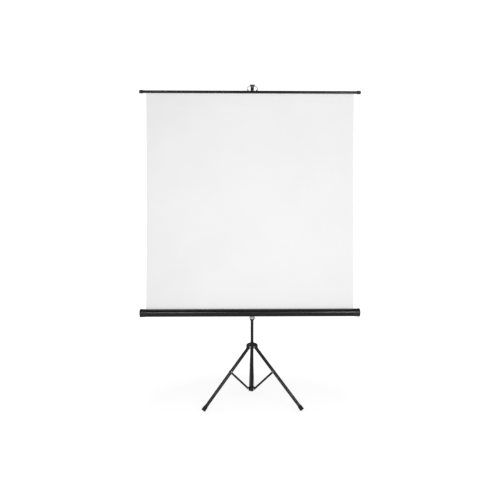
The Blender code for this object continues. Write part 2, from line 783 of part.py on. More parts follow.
def make_foot(root, frame, place):
    """Make a rubber foot, square to its leg and worn flat where it meets the floor."""
    end = -LEG_LENGTH
    top = end + FOOT_LENGTH
    bore = LEG_RADIUS + GAP
    groove = FOOT_RADIUS - FOOT_GROOVE
    radii = (FOOT_RADIUS, groove, groove, FOOT_RADIUS)
    foot = turned(
        "foot_" + place,
        [
            (0, top - FOOT_SOCKET),
            (bore, top - FOOT_SOCKET),
            (bore, top),
            (FOOT_TOP_RADIUS - EDGE, top),
            (FOOT_TOP_RADIUS, top - EDGE),
            *[(radius, top - share * FOOT_LENGTH) for radius, share in zip(radii, FOOT_GROOVE_SHARES)],
            (FOOT_RADIUS, end + FOOT_CHAMFER),
            (FOOT_RADIUS - FOOT_CHAMFER, end),
            (0, end),
        ],
        frame,
        "rubber",
        facets=FINE,
    )
    size = LEG_LENGTH
    floor = box("floor_trim_" + place, (-size, -size, -size), (size, size, 0), root)
    combine(foot, floor)


def brace_outline():
    """Return the outline and the two holes of a brace, from its leg pivot to its spider pivot."""
    half = BRACE_WIDTH / 2
    upper = arc((0, 0), half, 0, math.pi, 8)
    lower = arc((0, -BRACE_LENGTH), half, math.pi, 2 * math.pi, 8)
    hole = RIVET_DIAMETER / 2 + HOLE_GAP
    return [upper + lower, circle((0, 0), hole, COARSE), circle((0, -BRACE_LENGTH), hole, COARSE)]


def make_brace(leg_frame, place):
    """Make one flat brace and the rivet at its spider end."""
    turn = (-LEG_ANGLE - BRACE_ANGLE, 0, 0)
    frame = make_frame("brace_joint_" + place, leg_frame, (0, 0, -LEG_TO_BRACE), turn)
    middle = Matrix.Translation((BRACE_INSIDE + BRACE_THICKNESS / 2, 0, 0))
    plate("brace_" + place, brace_outline(), BRACE_THICKNESS, frame, "black_tube", middle @ STAND_UP)
    head = RIVET_HEAD_DIAMETER / 2
    rivet = rivet_profile(-BRACE_OUTSIDE, -BRACE_INSIDE + GAP, RIVET_HEAD - GAP, head, RIVET_DIAMETER / 2)
    turned(
        "brace_rivet_" + place,
        rivet,
        frame,
        "steel",
        place=(0, 0, -BRACE_LENGTH),
        facets=COARSE,
        turn=Matrix.Rotation(math.radians(-90.0), 4, "Y"),
    )


def ear_outline():
    """Return the side outline of a spider ear and its hole: distance from the column, height."""
    half = EAR_WIDTH / 2
    tip = arc((PIVOT_RADIUS, 0), half, -math.pi / 2, math.pi / 2, 8)
    return [[(0, half), (0, -half)] + tip, circle((PIVOT_RADIUS, 0), RIVET_DIAMETER / 2 + HOLE_GAP, COARSE)]


def make_spider(root):
    """Make the spider at the column's foot: a collar with three ears beside the folded legs."""
    frame = make_frame("spider_place", root, (0, 0, SPIDER_HEIGHT_ABOVE_FLOOR))
    collar = SLIDE_BORE + SPIDER_WALL
    half = SPIDER_HEIGHT / 2
    spider = turned("spider", rod_profile(collar, half, -half, EDGE), frame, "black_plastic")
    for place, azimuth in LEG_PLACES.items():
        turn = Matrix.Rotation(azimuth, 4, "Z")
        middle = Matrix.Translation(((EAR_INSIDE + EAR_OUTSIDE) / 2, 0, 0))
        ear = plate("ear_" + place, ear_outline(), EAR_THICKNESS, frame, turn=turn @ middle @ STAND_UP)
        low = (0.5 * collar, 0.05 * EAR_WEB, -0.45 * EAR_WIDTH)
        high = (EAR_OUTSIDE - EAR_THICKNESS / 2, EAR_WEB, 0.45 * EAR_WIDTH)
        web = box("ear_web_" + place, low, high, frame)
        web.rotation_euler = (0, 0, azimuth)
        combine(spider, web, "UNION")
        combine(spider, ear, "UNION")
        across = turn @ Matrix.Translation((0, PIVOT_RADIUS, 0)) @ ALONG_X
        head = RIVET_HEAD_DIAMETER / 2
        turned(
            "spider_rivet_" + place,
            rivet_profile(EAR_INSIDE, EAR_OUTSIDE + GAP, RIVET_HEAD, head, RIVET_DIAMETER / 2),
            frame,
            "steel",
            facets=COARSE,
            turn=across,
        )
    combine(spider, turned("spider_bore", rod_profile(SLIDE_BORE, SPIDER_HEIGHT, -SPIDER_HEIGHT), frame))


def make_extension(root):
    """Make the extension tube, its end plug and the hook head on top."""
    frame = make_frame("extension_joint", root)
    tube_top = HEAD_BOTTOM + HEAD_SOCKET - GAP
    turned(
        "extension_tube",
        tube_profile(EXTENSION_RADIUS, EXTENSION_BORE, tube_top, EXTENSION_BOTTOM),
        frame,
        "steel",
        ring=True,
    )
    plug = EXTENSION_BORE - GAP
    seat = EXTENSION_BOTTOM - GAP
    turned(
        "extension_plug",
        [
            (0, EXTENSION_BOTTOM + EXTENSION_PLUG_LENGTH),
            (plug, EXTENSION_BOTTOM + EXTENSION_PLUG_LENGTH),
            (plug, seat),
            (EXTENSION_RADIUS, seat),
            (EXTENSION_RADIUS, seat - EXTENSION_PLUG_FLANGE),
            (0, seat - EXTENSION_PLUG_FLANGE),
        ],
        frame,
        "black_plastic",
    )
    make_hook_head(frame)


def make_hook_head(frame):
    """Make the hook head: a socket, an arm towards the bar, a trough for the wire and a cross flange."""
    back = HEAD_DEPTH / 2
    rear_wall = FABRIC_DEPTH + TROUGH_WIDTH / 2
    front_wall = FABRIC_DEPTH - TROUGH_WIDTH / 2
    front = front_wall - LIP_THICKNESS
    crown = TROUGH_FLOOR + TROUGH_WALL
    under = TROUGH_FLOOR - ARM_THICKNESS
    outline = [
        (back, HEAD_BOTTOM),
        *[(back - inward, crown - down) for inward, down in CROWN_SLOPE],
        (rear_wall, crown),
        (rear_wall, TROUGH_FLOOR),
        (front_wall, TROUGH_FLOOR),
        (front_wall, crown),
        (front, crown),
        (front, under + ARM_CORNER[1]),
        (front + ARM_CORNER[0], under),
        (-back - ARM_ROOT[0], under),
        (-back, under - ARM_ROOT[1]),
        (-back, HEAD_BOTTOM),
    ]
    head = plate("hook_head", [outline], HEAD_WIDTH, frame, "black_plastic", STAND_UP)
    soften(head, HEAD_EDGE)
    socket = turned(
        "head_socket",
        rod_profile(EXTENSION_RADIUS + GAP, HEAD_BOTTOM + HEAD_SOCKET, HEAD_BOTTOM - HEAD_SOCKET),
        frame,
    )
    flange = box(
        "head_flange",
        (-FLANGE_WIDTH / 2, front - OVERLAP, crown - 2 * HEAD_EDGE),
        (FLANGE_WIDTH / 2, front_wall - OVERLAP, crown + FLANGE_HEIGHT),
        frame,
    )
    soften(flange, HEAD_EDGE)
    combine(head, flange, "UNION")
    combine(head, socket)


def bar_cap_profile():
    """Return the profile of a top bar cap, from its outer face inward along the bar."""
    outer = BAR_CAP_DIAMETER / 2
    end = BAR_OVERALL / 2
    inner = end - BAR_CAP_LENGTH
    bore = BAR_RADIUS + GAP
    groove = outer - BAR_CAP_GROOVE
    return [
        (0, end),
        *[(outer * share, end - depth) for share, depth in BAR_CAP_FACE],
        (groove, end - BAR_CAP_RING),
        (groove, end - BAR_CAP_RING - 3 * MM),
        (outer, end - BAR_CAP_RING - 4 * MM),
        (outer, inner + BAR_CAP_CHAMFER),
        (outer - BAR_CAP_CHAMFER, inner),
        (bore, inner),
        (bore, inner + BAR_CAP_SOCKET),
        (0, inner + BAR_CAP_SOCKET),
    ]


def make_top_bar(root):
    """Make the slotted top bar, its caps, the hem rod and the bail's lugs."""
    frame = make_frame("top_bar_joint", root, (SCREEN_OFFSET, FABRIC_DEPTH, BAR_HEIGHT))
    tube_end = BAR_OVERALL / 2 - BAR_CAP_LENGTH + BAR_CAP_SOCKET - GAP
    bar = turned(
        "top_bar_tube",
        tube_profile(BAR_RADIUS, BAR_BORE, tube_end, -tube_end),
        frame,
        "black_tube",
        turn=ALONG_X,
        ring=True,
    )
    slot = box(
        "bar_slot",
        (-SLOT_END, -BAR_SLOT_WIDTH / 2, -2 * BAR_RADIUS),
        (SLOT_END, BAR_SLOT_WIDTH / 2, -BAR_RADIUS / 2),
        frame,
    )
    combine(bar, slot)
    for side, sign in (("left", -1), ("right", 1)):
        turned(
            "bar_cap_" + side,
            bar_cap_profile(),
            frame,
            "black_plastic",
            turn=Matrix.Rotation(math.radians(90.0 * sign), 4, "Y"),
        )
    turned(
        "hem_rod",
        rod_profile(HEM_ROD_RADIUS, FABRIC_WIDTH / 2, -FABRIC_WIDTH / 2, EDGE),
        frame,
        "steel",
        place=(0, 0, -HEM_ROD_DROP),
        facets=COARSE,
        turn=ALONG_X,
    )
    for side, sign in (("left", -1), ("right", 1)):
        make_lug(frame, side, sign)
    make_bail(frame)


def make_lug(frame, side, sign):
    """Make one lug: a saddle on the bar with a cross hole for the bail's end."""
    middle = sign * LUG_SPACING / 2 - SCREEN_OFFSET
    outer = WIRE_RADIUS + HOLE_GAP + LUG_WALL
    dome = arc((0, LUG_PIVOT), outer, 0, math.pi, 8)
    foot = [(-LUG_DEPTH / 2, 0.7 * BAR_RADIUS), (LUG_DEPTH / 2, 0.7 * BAR_RADIUS)]
    hole = circle((0, LUG_PIVOT), WIRE_RADIUS + HOLE_GAP, 16)
    turn = Matrix.Translation((middle, 0, 0)) @ STAND_UP
    lug = plate("bail_lug_" + side, [foot + dome, hole], LUG_WIDTH, frame, "black_plastic", turn)
    seat = turned(
        "lug_seat_" + side,
        rod_profile(BAR_RADIUS + GAP, LUG_SPACING, -LUG_SPACING),
        frame,
        turn=ALONG_X,
    )
    combine(lug, seat)


def make_bail(frame):
    """Make the wire bail that hangs in the hook head's trough."""
    joint = make_frame("bail_joint", frame, (-SCREEN_OFFSET, 0, LUG_PIVOT))
    side = BAIL_WIDTH / 2
    inner_end = LUG_SPACING / 2 - LUG_WIDTH / 2 + GAP
    bend = arc((side - BAIL_FOOT_BEND, BAIL_FOOT_BEND), BAIL_FOOT_BEND, -math.pi / 2, 0, 4)
    corner = arc((side - BAIL_CORNER, BAIL_RISE - BAIL_CORNER), BAIL_CORNER, 0, math.pi / 2, 8)
    half = [(inner_end, 0.0)] + bend + corner
    other = [(-across, height) for across, height in reversed(half)]
    points = [(across, 0.0, height) for across, height in half + other]
    wire("bail", points, BAIL_WIRE, joint, "steel")


def cap_profile():
    """Return the profile of a case end cap, from its domed face inward along the case."""
    flange = CAP_FLANGE_DIAMETER / 2
    end = CASE_OVERALL / 2
    shoulder = end - CAP_FLANGE_LENGTH
    collar = CASE_RADIUS + GAP + CAP_WALL
    skirt = shoulder - CAP_COLLAR_LENGTH
    seat = CASE_END + GAP
    boss = CAP_BOSS_DIAMETER / 2
    hole = AXLE_RADIUS + HOLE_GAP
    dome = []
    for step in range(CAP_DOME_STEPS):
        angle = math.radians(90.0) * step / CAP_DOME_STEPS
        dome.append((flange * math.sin(angle), end - CAP_DOME * (1 - math.cos(angle))))
    return dome + [
        (flange, end - CAP_DOME),
        (flange, shoulder + CAP_CHAMFER),
        (flange - CAP_CHAMFER, shoulder),
        (collar, shoulder),
        (collar, skirt),
        (CASE_RADIUS + GAP, skirt),
        (CASE_RADIUS + GAP, seat),
        (CASE_RADIUS - CASE_WALL - CAP_RECESS, seat),
        (boss, seat - EDGE),
        (boss, seat - CAP_BOSS_LENGTH),
        (hole, seat - CAP_BOSS_LENGTH),
        (hole, seat - CAP_BOSS_LENGTH + CAP_HOLE_DEPTH + CAP_BOSS_LENGTH / 2),
        (0, seat - CAP_BOSS_LENGTH + CAP_HOLE_DEPTH + CAP_BOSS_LENGTH / 2),
    ]


def make_case(carriage):
    """Make the slotted case tube, its caps, the mandrel and the roller spring."""
    frame = make_frame("case_place", carriage, (SCREEN_OFFSET, CASE_CENTRE_DEPTH, CASE_HEIGHT))
    case = turned(
        "case_tube",
        tube_profile(CASE_RADIUS, CASE_RADIUS - CASE_WALL, CASE_END, -CASE_END),
        frame,
        "black_tube",
        facets=FINE,
        turn=ALONG_X,
        ring=True,
    )
    across = FABRIC_DEPTH - CASE_CENTRE_DEPTH
    slot = box(
        "case_slot",
        (-SLOT_END, across - CASE_SLOT_WIDTH / 2, CASE_RADIUS / 2),
        (SLOT_END, across + CASE_SLOT_WIDTH / 2, 2 * CASE_RADIUS),
        frame,
    )
    combine(case, slot)
    for side, sign in (("left", -1), ("right", 1)):
        turned(
            "case_cap_" + side,
            cap_profile(),
            frame,
            "black_plastic",
            facets=FINE,
            turn=Matrix.Rotation(math.radians(90.0 * sign), 4, "Y"),
        )
    make_spring(frame)
    make_roller(frame)


def axle_end():
    """Return where an axle's end stands in its cap, along the case."""
    return CASE_END - CAP_BOSS_LENGTH + CAP_HOLE_DEPTH


def make_spring(frame):
    """Make the mandrel, the spring's anchor on it and the spring itself."""
    outer = axle_end()
    inner = outer - MANDREL_LENGTH
    turned(
        "mandrel_rod",
        rod_profile(AXLE_RADIUS, outer, inner, EDGE),
        frame,
        "steel",
        facets=COARSE,
        turn=ALONG_X,
    )
    anchor = inner + 2 * ANCHOR_LENGTH
    bore = AXLE_RADIUS + GAP
    turned(
        "spring_anchor",
        tube_profile(ANCHOR_DIAMETER / 2, bore, anchor, anchor - ANCHOR_LENGTH),
        frame,
        "black_plastic",
        facets=COARSE,
        turn=ALONG_X,
        ring=True,
    )
    first = anchor + GAP + SPRING_WIRE / 2
    last = roller_end() - GUDGEON_LENGTH - GAP - SPRING_WIRE / 2
    radius = (SPRING_DIAMETER - SPRING_WIRE) / 2
    steps = SPRING_TURNS * SPRING_POINTS
    points = []
    for step in range(steps + 1):
        angle = 2 * math.pi * step / SPRING_POINTS
        along = first + (last - first) * step / steps
        points.append((along, radius * math.cos(angle), radius * math.sin(angle)))
    wire("roller_spring", points, SPRING_WIRE, frame, "steel", resolution=1)
    print("least gap between the spring's turns", (last - first) / SPRING_TURNS - SPRING_WIRE)


def roller_end():
    """Return how far the roller tube reaches to each side."""
    return FABRIC_WIDTH / 2 + ROLLER_OVERHANG


def make_roller(case_frame):
    """Make the roller tube, its end plugs and the turns of fabric that stay on it."""
    frame = make_frame("roller_joint", case_frame)
    end = roller_end()
    inner = ROLLER_RADIUS - ROLLER_WALL
    turned(
        "roller_tube",
        tube_profile(ROLLER_RADIUS, inner, end, -end),
        frame,
        "aluminium",
        turn=ALONG_X,
        ring=True,
    )
    plug = inner - GAP
    turned(
        "roller_gudgeon",
        [
            (0, axle_end()),
            (AXLE_RADIUS, axle_end()),
            (AXLE_RADIUS, end),
            (plug, end),
            (plug, end - GUDGEON_LENGTH),
            (0, end - GUDGEON_LENGTH),
        ],
        frame,
        "black_plastic",
        turn=Matrix.Rotation(math.radians(-90.0), 4, "Y"),
    )
    turned(
        "spring_plug",
        tube_profile(plug, AXLE_RADIUS + HOLE_GAP, end, end - GUDGEON_LENGTH),
        frame,
        "black_plastic",
        turn=ALONG_X,
        ring=True,
    )
    turned(
        "fabric_roll",
        tube_profile(ROLL_RADIUS, ROLLER_RADIUS + GAP, FABRIC_WIDTH / 2, -FABRIC_WIDTH / 2),
        frame,
        "fabric",
        turn=ALONG_X,
        ring=True,
    )


def make_fabric(carriage):
    """Make the stretched fabric: its sides draw in and lean back between the roller and the bar."""
    mesh = bpy.data.meshes.new("screen_fabric")
    shape = bmesh.new()
    bmesh.ops.create_grid(shape, x_segments=FABRIC_COLUMNS, y_segments=FABRIC_ROWS, size=0.5)
    length = FABRIC_TOP - CASE_HEIGHT
    for point in shape.verts:
        across = 2 * point.co.x
        along = point.co.y + 0.5
        swell = math.sin(math.pi * along)
        half = FABRIC_WIDTH / 2 - FABRIC_PULL * swell
        lean = FABRIC_CURL * swell * abs(across) ** 6
        point.co = (half * across, lean, length * along)
    shape.to_mesh(mesh)
    shape.free()
    mesh.shade_smooth()
    place = (SCREEN_OFFSET, FABRIC_DEPTH, CASE_HEIGHT)
    fabric = add_object("screen_fabric", mesh, carriage, "fabric", place)
    thickness = fabric.modifiers.new("thickness", "SOLIDIFY")
    thickness.thickness = FABRIC_THICKNESS
    thickness.offset = 0.0


def make_carriage(root):
    """Make the carriage on the column, the sleeve under it, the saddle, its bolt and the handle."""
    frame = make_frame("carriage_joint", root)
    block = rounded_rectangle(CARRIAGE_WIDTH, CARRIAGE_WIDTH, CARRIAGE_CORNER)
    body = plate(
        "carriage",
        [block, circle((0, 0), SLIDE_BORE, MEDIUM)],
        CARRIAGE_HEIGHT,
        frame,
        "black_plastic",
        Matrix.Translation((0, 0, CARRIAGE_BOTTOM + CARRIAGE_HEIGHT / 2)),
    )
    face = CARRIAGE_WIDTH / 2
    saddle_back = CASE_CENTRE_DEPTH + CASE_RADIUS + GAP + SADDLE_WALL
    seat = -face - GAP
    outer = CASE_RADIUS + GAP + SADDLE_WALL
    centre = (CASE_CENTRE_DEPTH, CASE_HEIGHT)
    outline = arc(centre, outer, -SADDLE_HALF_ANGLE, SADDLE_HALF_ANGLE, 14)
    outline += arc(centre, CASE_RADIUS + GAP, SADDLE_HALF_ANGLE, -SADDLE_HALF_ANGLE, 14)
    saddle = plate("case_saddle", [outline], SADDLE_LENGTH, frame, "black_plastic", STAND_UP)
    boss = turned(
        "saddle_boss",
        rod_profile(SADDLE_BOSS_DIAMETER / 2, seat, saddle_back - 0.6 * SADDLE_WALL),
        frame,
        place=(0, 0, CASE_HEIGHT),
        turn=ALONG_Y,
    )
    bolt_start = seat - PIVOT_BOLT_IN_SADDLE
    bolt_end = -face + PIVOT_BOLT_IN_CARRIAGE
    bolt_hole = turned(
        "pivot_bolt_hole",
        rod_profile(PIVOT_BOLT_DIAMETER / 2 + HOLE_GAP, bolt_end + GAP, bolt_start - GAP),
        frame,
        place=(0, 0, CASE_HEIGHT),
        facets=COARSE,
        turn=ALONG_Y,
    )
    combine(saddle, boss, "UNION")
    combine(saddle, bolt_hole)
    combine(body, bolt_hole)
    turned(
        "pivot_bolt",
        rod_profile(PIVOT_BOLT_DIAMETER / 2, bolt_end, bolt_start, EDGE),
        frame,
        "steel",
        place=(0, 0, CASE_HEIGHT),
        facets=COARSE,
        turn=ALONG_Y,
    )
    make_sleeve(frame)
    make_handle(frame)
    make_case(frame)
    make_fabric(frame)


def make_sleeve(frame):
    """Make the tapered silver sleeve under the carriage and the screw that holds its height."""
    radius = SLEEVE_DIAMETER / 2
    bottom = SLEEVE_TOP - SLEEVE_LENGTH
    sleeve = turned(
        "lock_sleeve",
        [
            (radius - 2 * EDGE, SLEEVE_TOP),
            (radius, SLEEVE_TOP - 2 * EDGE),
            *[(radius * width, SLEEVE_TOP - share * SLEEVE_LENGTH) for width, share in SLEEVE_WAIST],
            (SLEEVE_TIP_DIAMETER / 2 + EDGE, bottom + EDGE),
            (SLEEVE_TIP_DIAMETER / 2, bottom),
            (SLIDE_BORE, bottom),
            (SLIDE_BORE, SLEEVE_TOP),
        ],
        frame,
        "silver",
        facets=FINE,
        ring=True,
    )
    shank = HEIGHT_SCREW_DIAMETER / 2
    hole = turned(
        "height_screw_hole",
        rod_profile(shank + HOLE_GAP, 2 * radius, 0),
        frame,
        place=(0, 0, HEIGHT_SCREW_HEIGHT),
        facets=COARSE,
        turn=ALONG_X,
    )
    combine(sleeve, hole)
    joint = make_frame("height_screw_joint", frame, (0, 0, HEIGHT_SCREW_HEIGHT))
    head = HEIGHT_SCREW_HEAD_DIAMETER / 2
    near = radius + GAP
    turned(
        "height_screw",
        [
            (0, near + HEIGHT_SCREW_HEAD),
            (head - EDGE, near + HEIGHT_SCREW_HEAD),
            (head, near + HEIGHT_SCREW_HEAD - EDGE),
            (head, near),
            (shank, near),
            (shank, SLIDE_BORE),
            (0, SLIDE_BORE),
        ],
        joint,
        "steel",
        facets=COARSE,
        turn=ALONG_X,
    )


def make_handle(frame):
    """Make the carry handle behind the carriage."""
    near = CARRIAGE_WIDTH / 2 + GAP
    far = CARRIAGE_WIDTH / 2 + HANDLE_REACH
    middle = CARRIAGE_BOTTOM + CARRIAGE_HEIGHT / 2
    half = HANDLE_SPAN / 2
    quarter = math.pi / 2
    upper = arc((far - HANDLE_CORNER, middle + half - HANDLE_CORNER), HANDLE_CORNER, quarter, 0, HANDLE_STEPS)
    lower = [(depth, 2 * middle - height) for depth, height in reversed(upper)]
    route = [(near, middle + half)] + upper + lower + [(near, middle - half)]
    points = [(0.0, depth, height) for depth, height in route]
    wire("carry_handle", points, HANDLE_DIAMETER, frame, "black_plastic")


def build():
    """Build the whole screen and centre it over the origin."""
    root = make_frame("screen_root")
    make_column(root)
    make_top_collar(root)
    make_lock_knob(root)
    make_hub(root)
    for place, azimuth in LEG_PLACES.items():
        leg_frame = make_leg(root, place, azimuth)
        make_brace(leg_frame, place)
    make_spider(root)
    make_carriage(root)
    make_extension(root)
    make_top_bar(root)
    centre(root)


def centre(root):
    """Move the root so that the middle of the object's box stands over the origin."""
    bpy.context.view_layer.update()
    graph = bpy.context.evaluated_depsgraph_get()
    corners = []
    for obj in PARTS.objects:
        if obj.type == "MESH":
            evaluated = obj.evaluated_get(graph)
            corners += [evaluated.matrix_world @ Vector(corner) for corner in evaluated.bound_box]
    for axis in (0, 1):
        values = [corner[axis] for corner in corners]
        root.location[axis] = -(min(values) + max(values)) / 2
    bpy.context.view_layer.update()
    print("column axis", tuple(root.location))


build()
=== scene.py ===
import logging
import math
from dataclasses import dataclass
from enum import Enum, IntEnum
from typing import NamedTuple, Sequence

import bmesh
import bpy
from mathutils import Matrix, Vector


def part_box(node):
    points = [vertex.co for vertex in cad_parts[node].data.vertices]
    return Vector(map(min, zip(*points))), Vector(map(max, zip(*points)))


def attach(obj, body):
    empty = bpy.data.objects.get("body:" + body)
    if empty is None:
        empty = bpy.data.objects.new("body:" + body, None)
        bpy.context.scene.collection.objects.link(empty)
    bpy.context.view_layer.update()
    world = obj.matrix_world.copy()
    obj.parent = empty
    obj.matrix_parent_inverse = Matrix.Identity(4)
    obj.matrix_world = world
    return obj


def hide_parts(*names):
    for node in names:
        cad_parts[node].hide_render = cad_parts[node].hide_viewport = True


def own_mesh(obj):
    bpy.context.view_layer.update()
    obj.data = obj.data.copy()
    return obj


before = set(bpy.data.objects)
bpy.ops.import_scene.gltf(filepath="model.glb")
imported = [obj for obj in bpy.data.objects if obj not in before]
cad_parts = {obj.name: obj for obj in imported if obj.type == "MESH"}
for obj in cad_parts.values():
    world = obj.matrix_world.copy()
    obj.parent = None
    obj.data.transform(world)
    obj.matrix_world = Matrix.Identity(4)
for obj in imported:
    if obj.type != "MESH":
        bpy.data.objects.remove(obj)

Point = tuple[float, float]
Profile = Sequence[Point]
Triple = tuple[float, float, float]
Colour = Triple
Shape = bmesh.types.BMesh
Socket = bpy.types.NodeSocket

LOG = logging.getLogger("tripod_screen")
MM = 0.001
MERGE = 0.02 * MM  # points closer than this are one
GAP = 0.3 * MM  # the air between a piece and what it fits round
SLOT_SPARE = 1.0 * MM  # how far a slot reaches past the fabric
FLAT_BEND = math.radians(1.0)  # faces that bend less are one
WHITE = (1.0, 1.0, 1.0, 1.0)
WAVE_TURN = 20.0  # how far a wave pattern of scale 1 turns in a metre, in radians
MIX_FIRST, MIX_SECOND, MIX_RESULT = 6, 7, 2  # the colour sockets of a Mix node
ALONG_X = Matrix.Rotation(math.radians(90.0), 4, "Y")
ALONG_Y = Matrix.Rotation(math.radians(-90.0), 4, "X")


class Named(Enum):
    """A choice whose label is the word that the frame's names use."""

    @property
    def label(self) -> str:
        """Return the member's name in small letters."""
        return self.name.lower()


class Side(Named):
    """The two ends of the case and of the top bar."""

    LEFT = -1
    RIGHT = 1

    @property
    def outward(self) -> Matrix:
        """Return the turn that points the Z axis out of this end."""
        return Matrix.Rotation(math.radians(90.0 * self.value), 4, "Y")


class Lip(Named):
    """The two edges of the case's slot."""

    FRONT = -1
    REAR = 1


class Place(Named):
    """The three legs, by how far each is turned from the rear one, in degrees."""

    REAR = 0.0
    LEFT = 120.0
    RIGHT = -120.0

    @property
    def turn(self) -> Matrix:
        """Return the turn from the rear leg to this one."""
        return Matrix.Rotation(math.radians(self.value), 4, "Z")


class Shade(Enum):
    """The angle from which an edge is shaded sharp, in degrees."""

    SMOOTH = 35.0
    CRISP = 20.0
    SOFT = 60.0


class Round(IntEnum):
    """How many facets go round a piece."""

    LARGE = 96
    MIDDLE = 64
    SMALL = 48
    RIVET = 40
    STEM = 32
    WIRE = 20
    BEAD = 12


def connect(tree: bpy.types.NodeTree, socket: Socket, value: object) -> None:
    """Feed an input of a node.

    Args:
        tree: the node tree.
        socket: the input.
        value: an output to link it to, or a constant.
    """
    if isinstance(value, Socket):
        tree.links.new(value, socket)
    else:
        socket.default_value = value


@dataclass(frozen=True)
class Pattern:
    """A noise pattern: its features in a metre, its finer layers and their strength."""

    scale: float
    detail: float
    roughness: float = 0.55


class NodeGraph:
    """A short way to write a material's nodes."""

    def __init__(self, name: str) -> None:
        """Start a material with a Principled shader.

        Args:
            name: the material's name.
        """
        self.material = bpy.data.materials.new(name)
        self.material.use_nodes = True
        self.tree = self.material.node_tree
        self.shader = self.tree.nodes["Principled BSDF"]
        self.place = self.tree.nodes.new("ShaderNodeTexCoord").outputs["Object"]

    def node(self, kind: str, **settings: object) -> bpy.types.Node:
        """Add a node.

        Args:
            kind: the node's type name, without its ShaderNode start.
            settings: properties of the node, or the values of its inputs by name.

        Returns:
            The new node.
        """
        made = self.tree.nodes.new("ShaderNode" + kind)
        for key, value in settings.items():
            if hasattr(made, key):
                setattr(made, key, value)
            else:
                connect(self.tree, made.inputs[key.replace("_", " ").title()], value)
        return made

    def stretched(self, scale: Triple) -> Socket:
        """Return the coordinates scaled by three factors."""
        return self.node("Mapping", vector=self.place, scale=scale).outputs["Vector"]

    def noise(self, pattern: Pattern) -> Socket:
        """Return the value of a noise pattern."""
        return self.node("TexNoise", vector=self.place, scale=pattern.scale, detail=pattern.detail,
                         roughness=pattern.roughness).outputs[0]

    def spread(self, value: Socket, low: float, high: float, start: float = 0.3, end: float = 0.7) -> Socket:
        """Return a value moved from one range to another.

        Args:
            value: the value to move.
            low: the result at the start of the range.
            high: the result at its end.
            start: where the range starts.
            end: where the range ends.

        Returns:
            The moved value.
        """
        made = self.node("MapRange", value=value, from_min=start, from_max=end, to_min=low, to_max=high)
        return made.outputs["Result"]

    def blend(self, amount: Socket, first: Colour, second: Colour) -> Socket:
        """Return a colour between two colours.

        Args:
            amount: 0 for the first colour, 1 for the second.
            first: red, green and blue.
            second: red, green and blue.

        Returns:
            The mixed colour.
        """
        made = self.node("Mix", data_type="RGBA", factor=amount)
        made.inputs[MIX_FIRST].default_value = (*first, 1.0)
        made.inputs[MIX_SECOND].default_value = (*second, 1.0)
        return made.outputs[MIX_RESULT]

    def product(self, first: Socket, second: Socket) -> Socket:
        """Return the product of two values.

        Args:
            first: the one value.
            second: the other value.

        Returns:
            Their product.
        """
        made = self.node("Math", operation="MULTIPLY")
        self.tree.links.new(first, made.inputs[0])
        self.tree.links.new(second, made.inputs[1])
        return made.outputs[0]

    def feed(self, name: str, value: object) -> None:
        """Link one of the shader's inputs, or set it to a constant."""
        connect(self.tree, self.shader.inputs[name], value)

    def relief(self, height: Socket, depth: float, strength: float) -> None:
        """Give the surface a bump.

        Args:
            height: the pattern of the bump.
            depth: the bump's height, in metres.
            strength: how much of it shows.
        """
        bump = self.node("Bump", strength=strength, distance=depth)
        self.tree.links.new(height, bump.inputs["Height"])
        self.feed("Normal", bump.outputs["Normal"])


class Coat(NamedTuple):
    """A finish that is made: its material, and the record's slot that it stands for."""

    material: bpy.types.Material
    slot: str


@dataclass(frozen=True)
class Finish:
    """A finish in two clouded colours, with a gloss that varies and a fine relief."""

    name: str
    slot: str
    colour: Colour
    second: Colour
    roughness: Point
    cloud: Pattern
    gloss: Pattern
    depth: float
    strength: float
    grain: Pattern | None = None
    extra: tuple[tuple[str, float], ...] = ()
    stretch: Triple | None = None

    def build(self) -> Coat:
        """Return the made finish.

        Returns:
            Its material and its slot.
        """
        graph = NodeGraph(self.name)
        if self.stretch:
            graph.place = graph.stretched(self.stretch)
        graph.feed("Base Color", graph.blend(self.clouding(graph), self.colour, self.second))
        graph.feed("Roughness", graph.spread(graph.noise(self.gloss), *self.roughness))
        for name, value in self.extra:
            graph.feed(name, value)
        graph.relief(self.bumps(graph), self.depth, self.strength)
        return Coat(graph.material, self.slot)

    def clouding(self, graph: NodeGraph) -> Socket:
        """Return where the second colour shows, from 0 to 1."""
        return graph.spread(graph.noise(self.cloud), 0.0, 1.0)

    def bumps(self, graph: NodeGraph) -> Socket:
        """Return the pattern of the relief."""
        return graph.noise(self.grain)


@dataclass(frozen=True)
class SatinPaint(Finish):
    """Satin black paint on a drawn tube."""

    name: str = "satin_black_paint"
    slot: str = "black_tube"
    colour: Colour = (0.004, 0.004, 0.0042)
    second: Colour = (0.008, 0.008, 0.0084)
    roughness: Point = (0.21, 0.26)
    cloud: Pattern = Pattern(9.0, 4.0)
    gloss: Pattern = Pattern(7.0, 3.0)
    depth: float = 0.03 * MM
    strength: float = 0.25
    grain: Pattern = Pattern(700.0, 2.0)
    extra: tuple[tuple[str, float], ...] = (("Specular IOR Level", 0.4),)


@dataclass(frozen=True)
class MouldedPlastic(Finish):
    """Black moulded plastic with a fine pebbled grain."""

    name: str = "moulded_black_plastic"
    slot: str = "black_plastic"
    colour: Colour = (0.008, 0.008, 0.0083)
    second: Colour = (0.014, 0.014, 0.0144)
    roughness: Point = (0.32, 0.42)
    cloud: Pattern = Pattern(25.0, 5.0)
    gloss: Pattern = Pattern(140.0, 4.0)
    depth: float = 0.06 * MM
    strength: float = 0.6
    pebbles: float = 1500.0

    def bumps(self, graph: NodeGraph) -> Socket:
        """Return the pebbled grain."""
        return graph.node("TexVoronoi", vector=graph.place, scale=self.pebbles).outputs["Distance"]


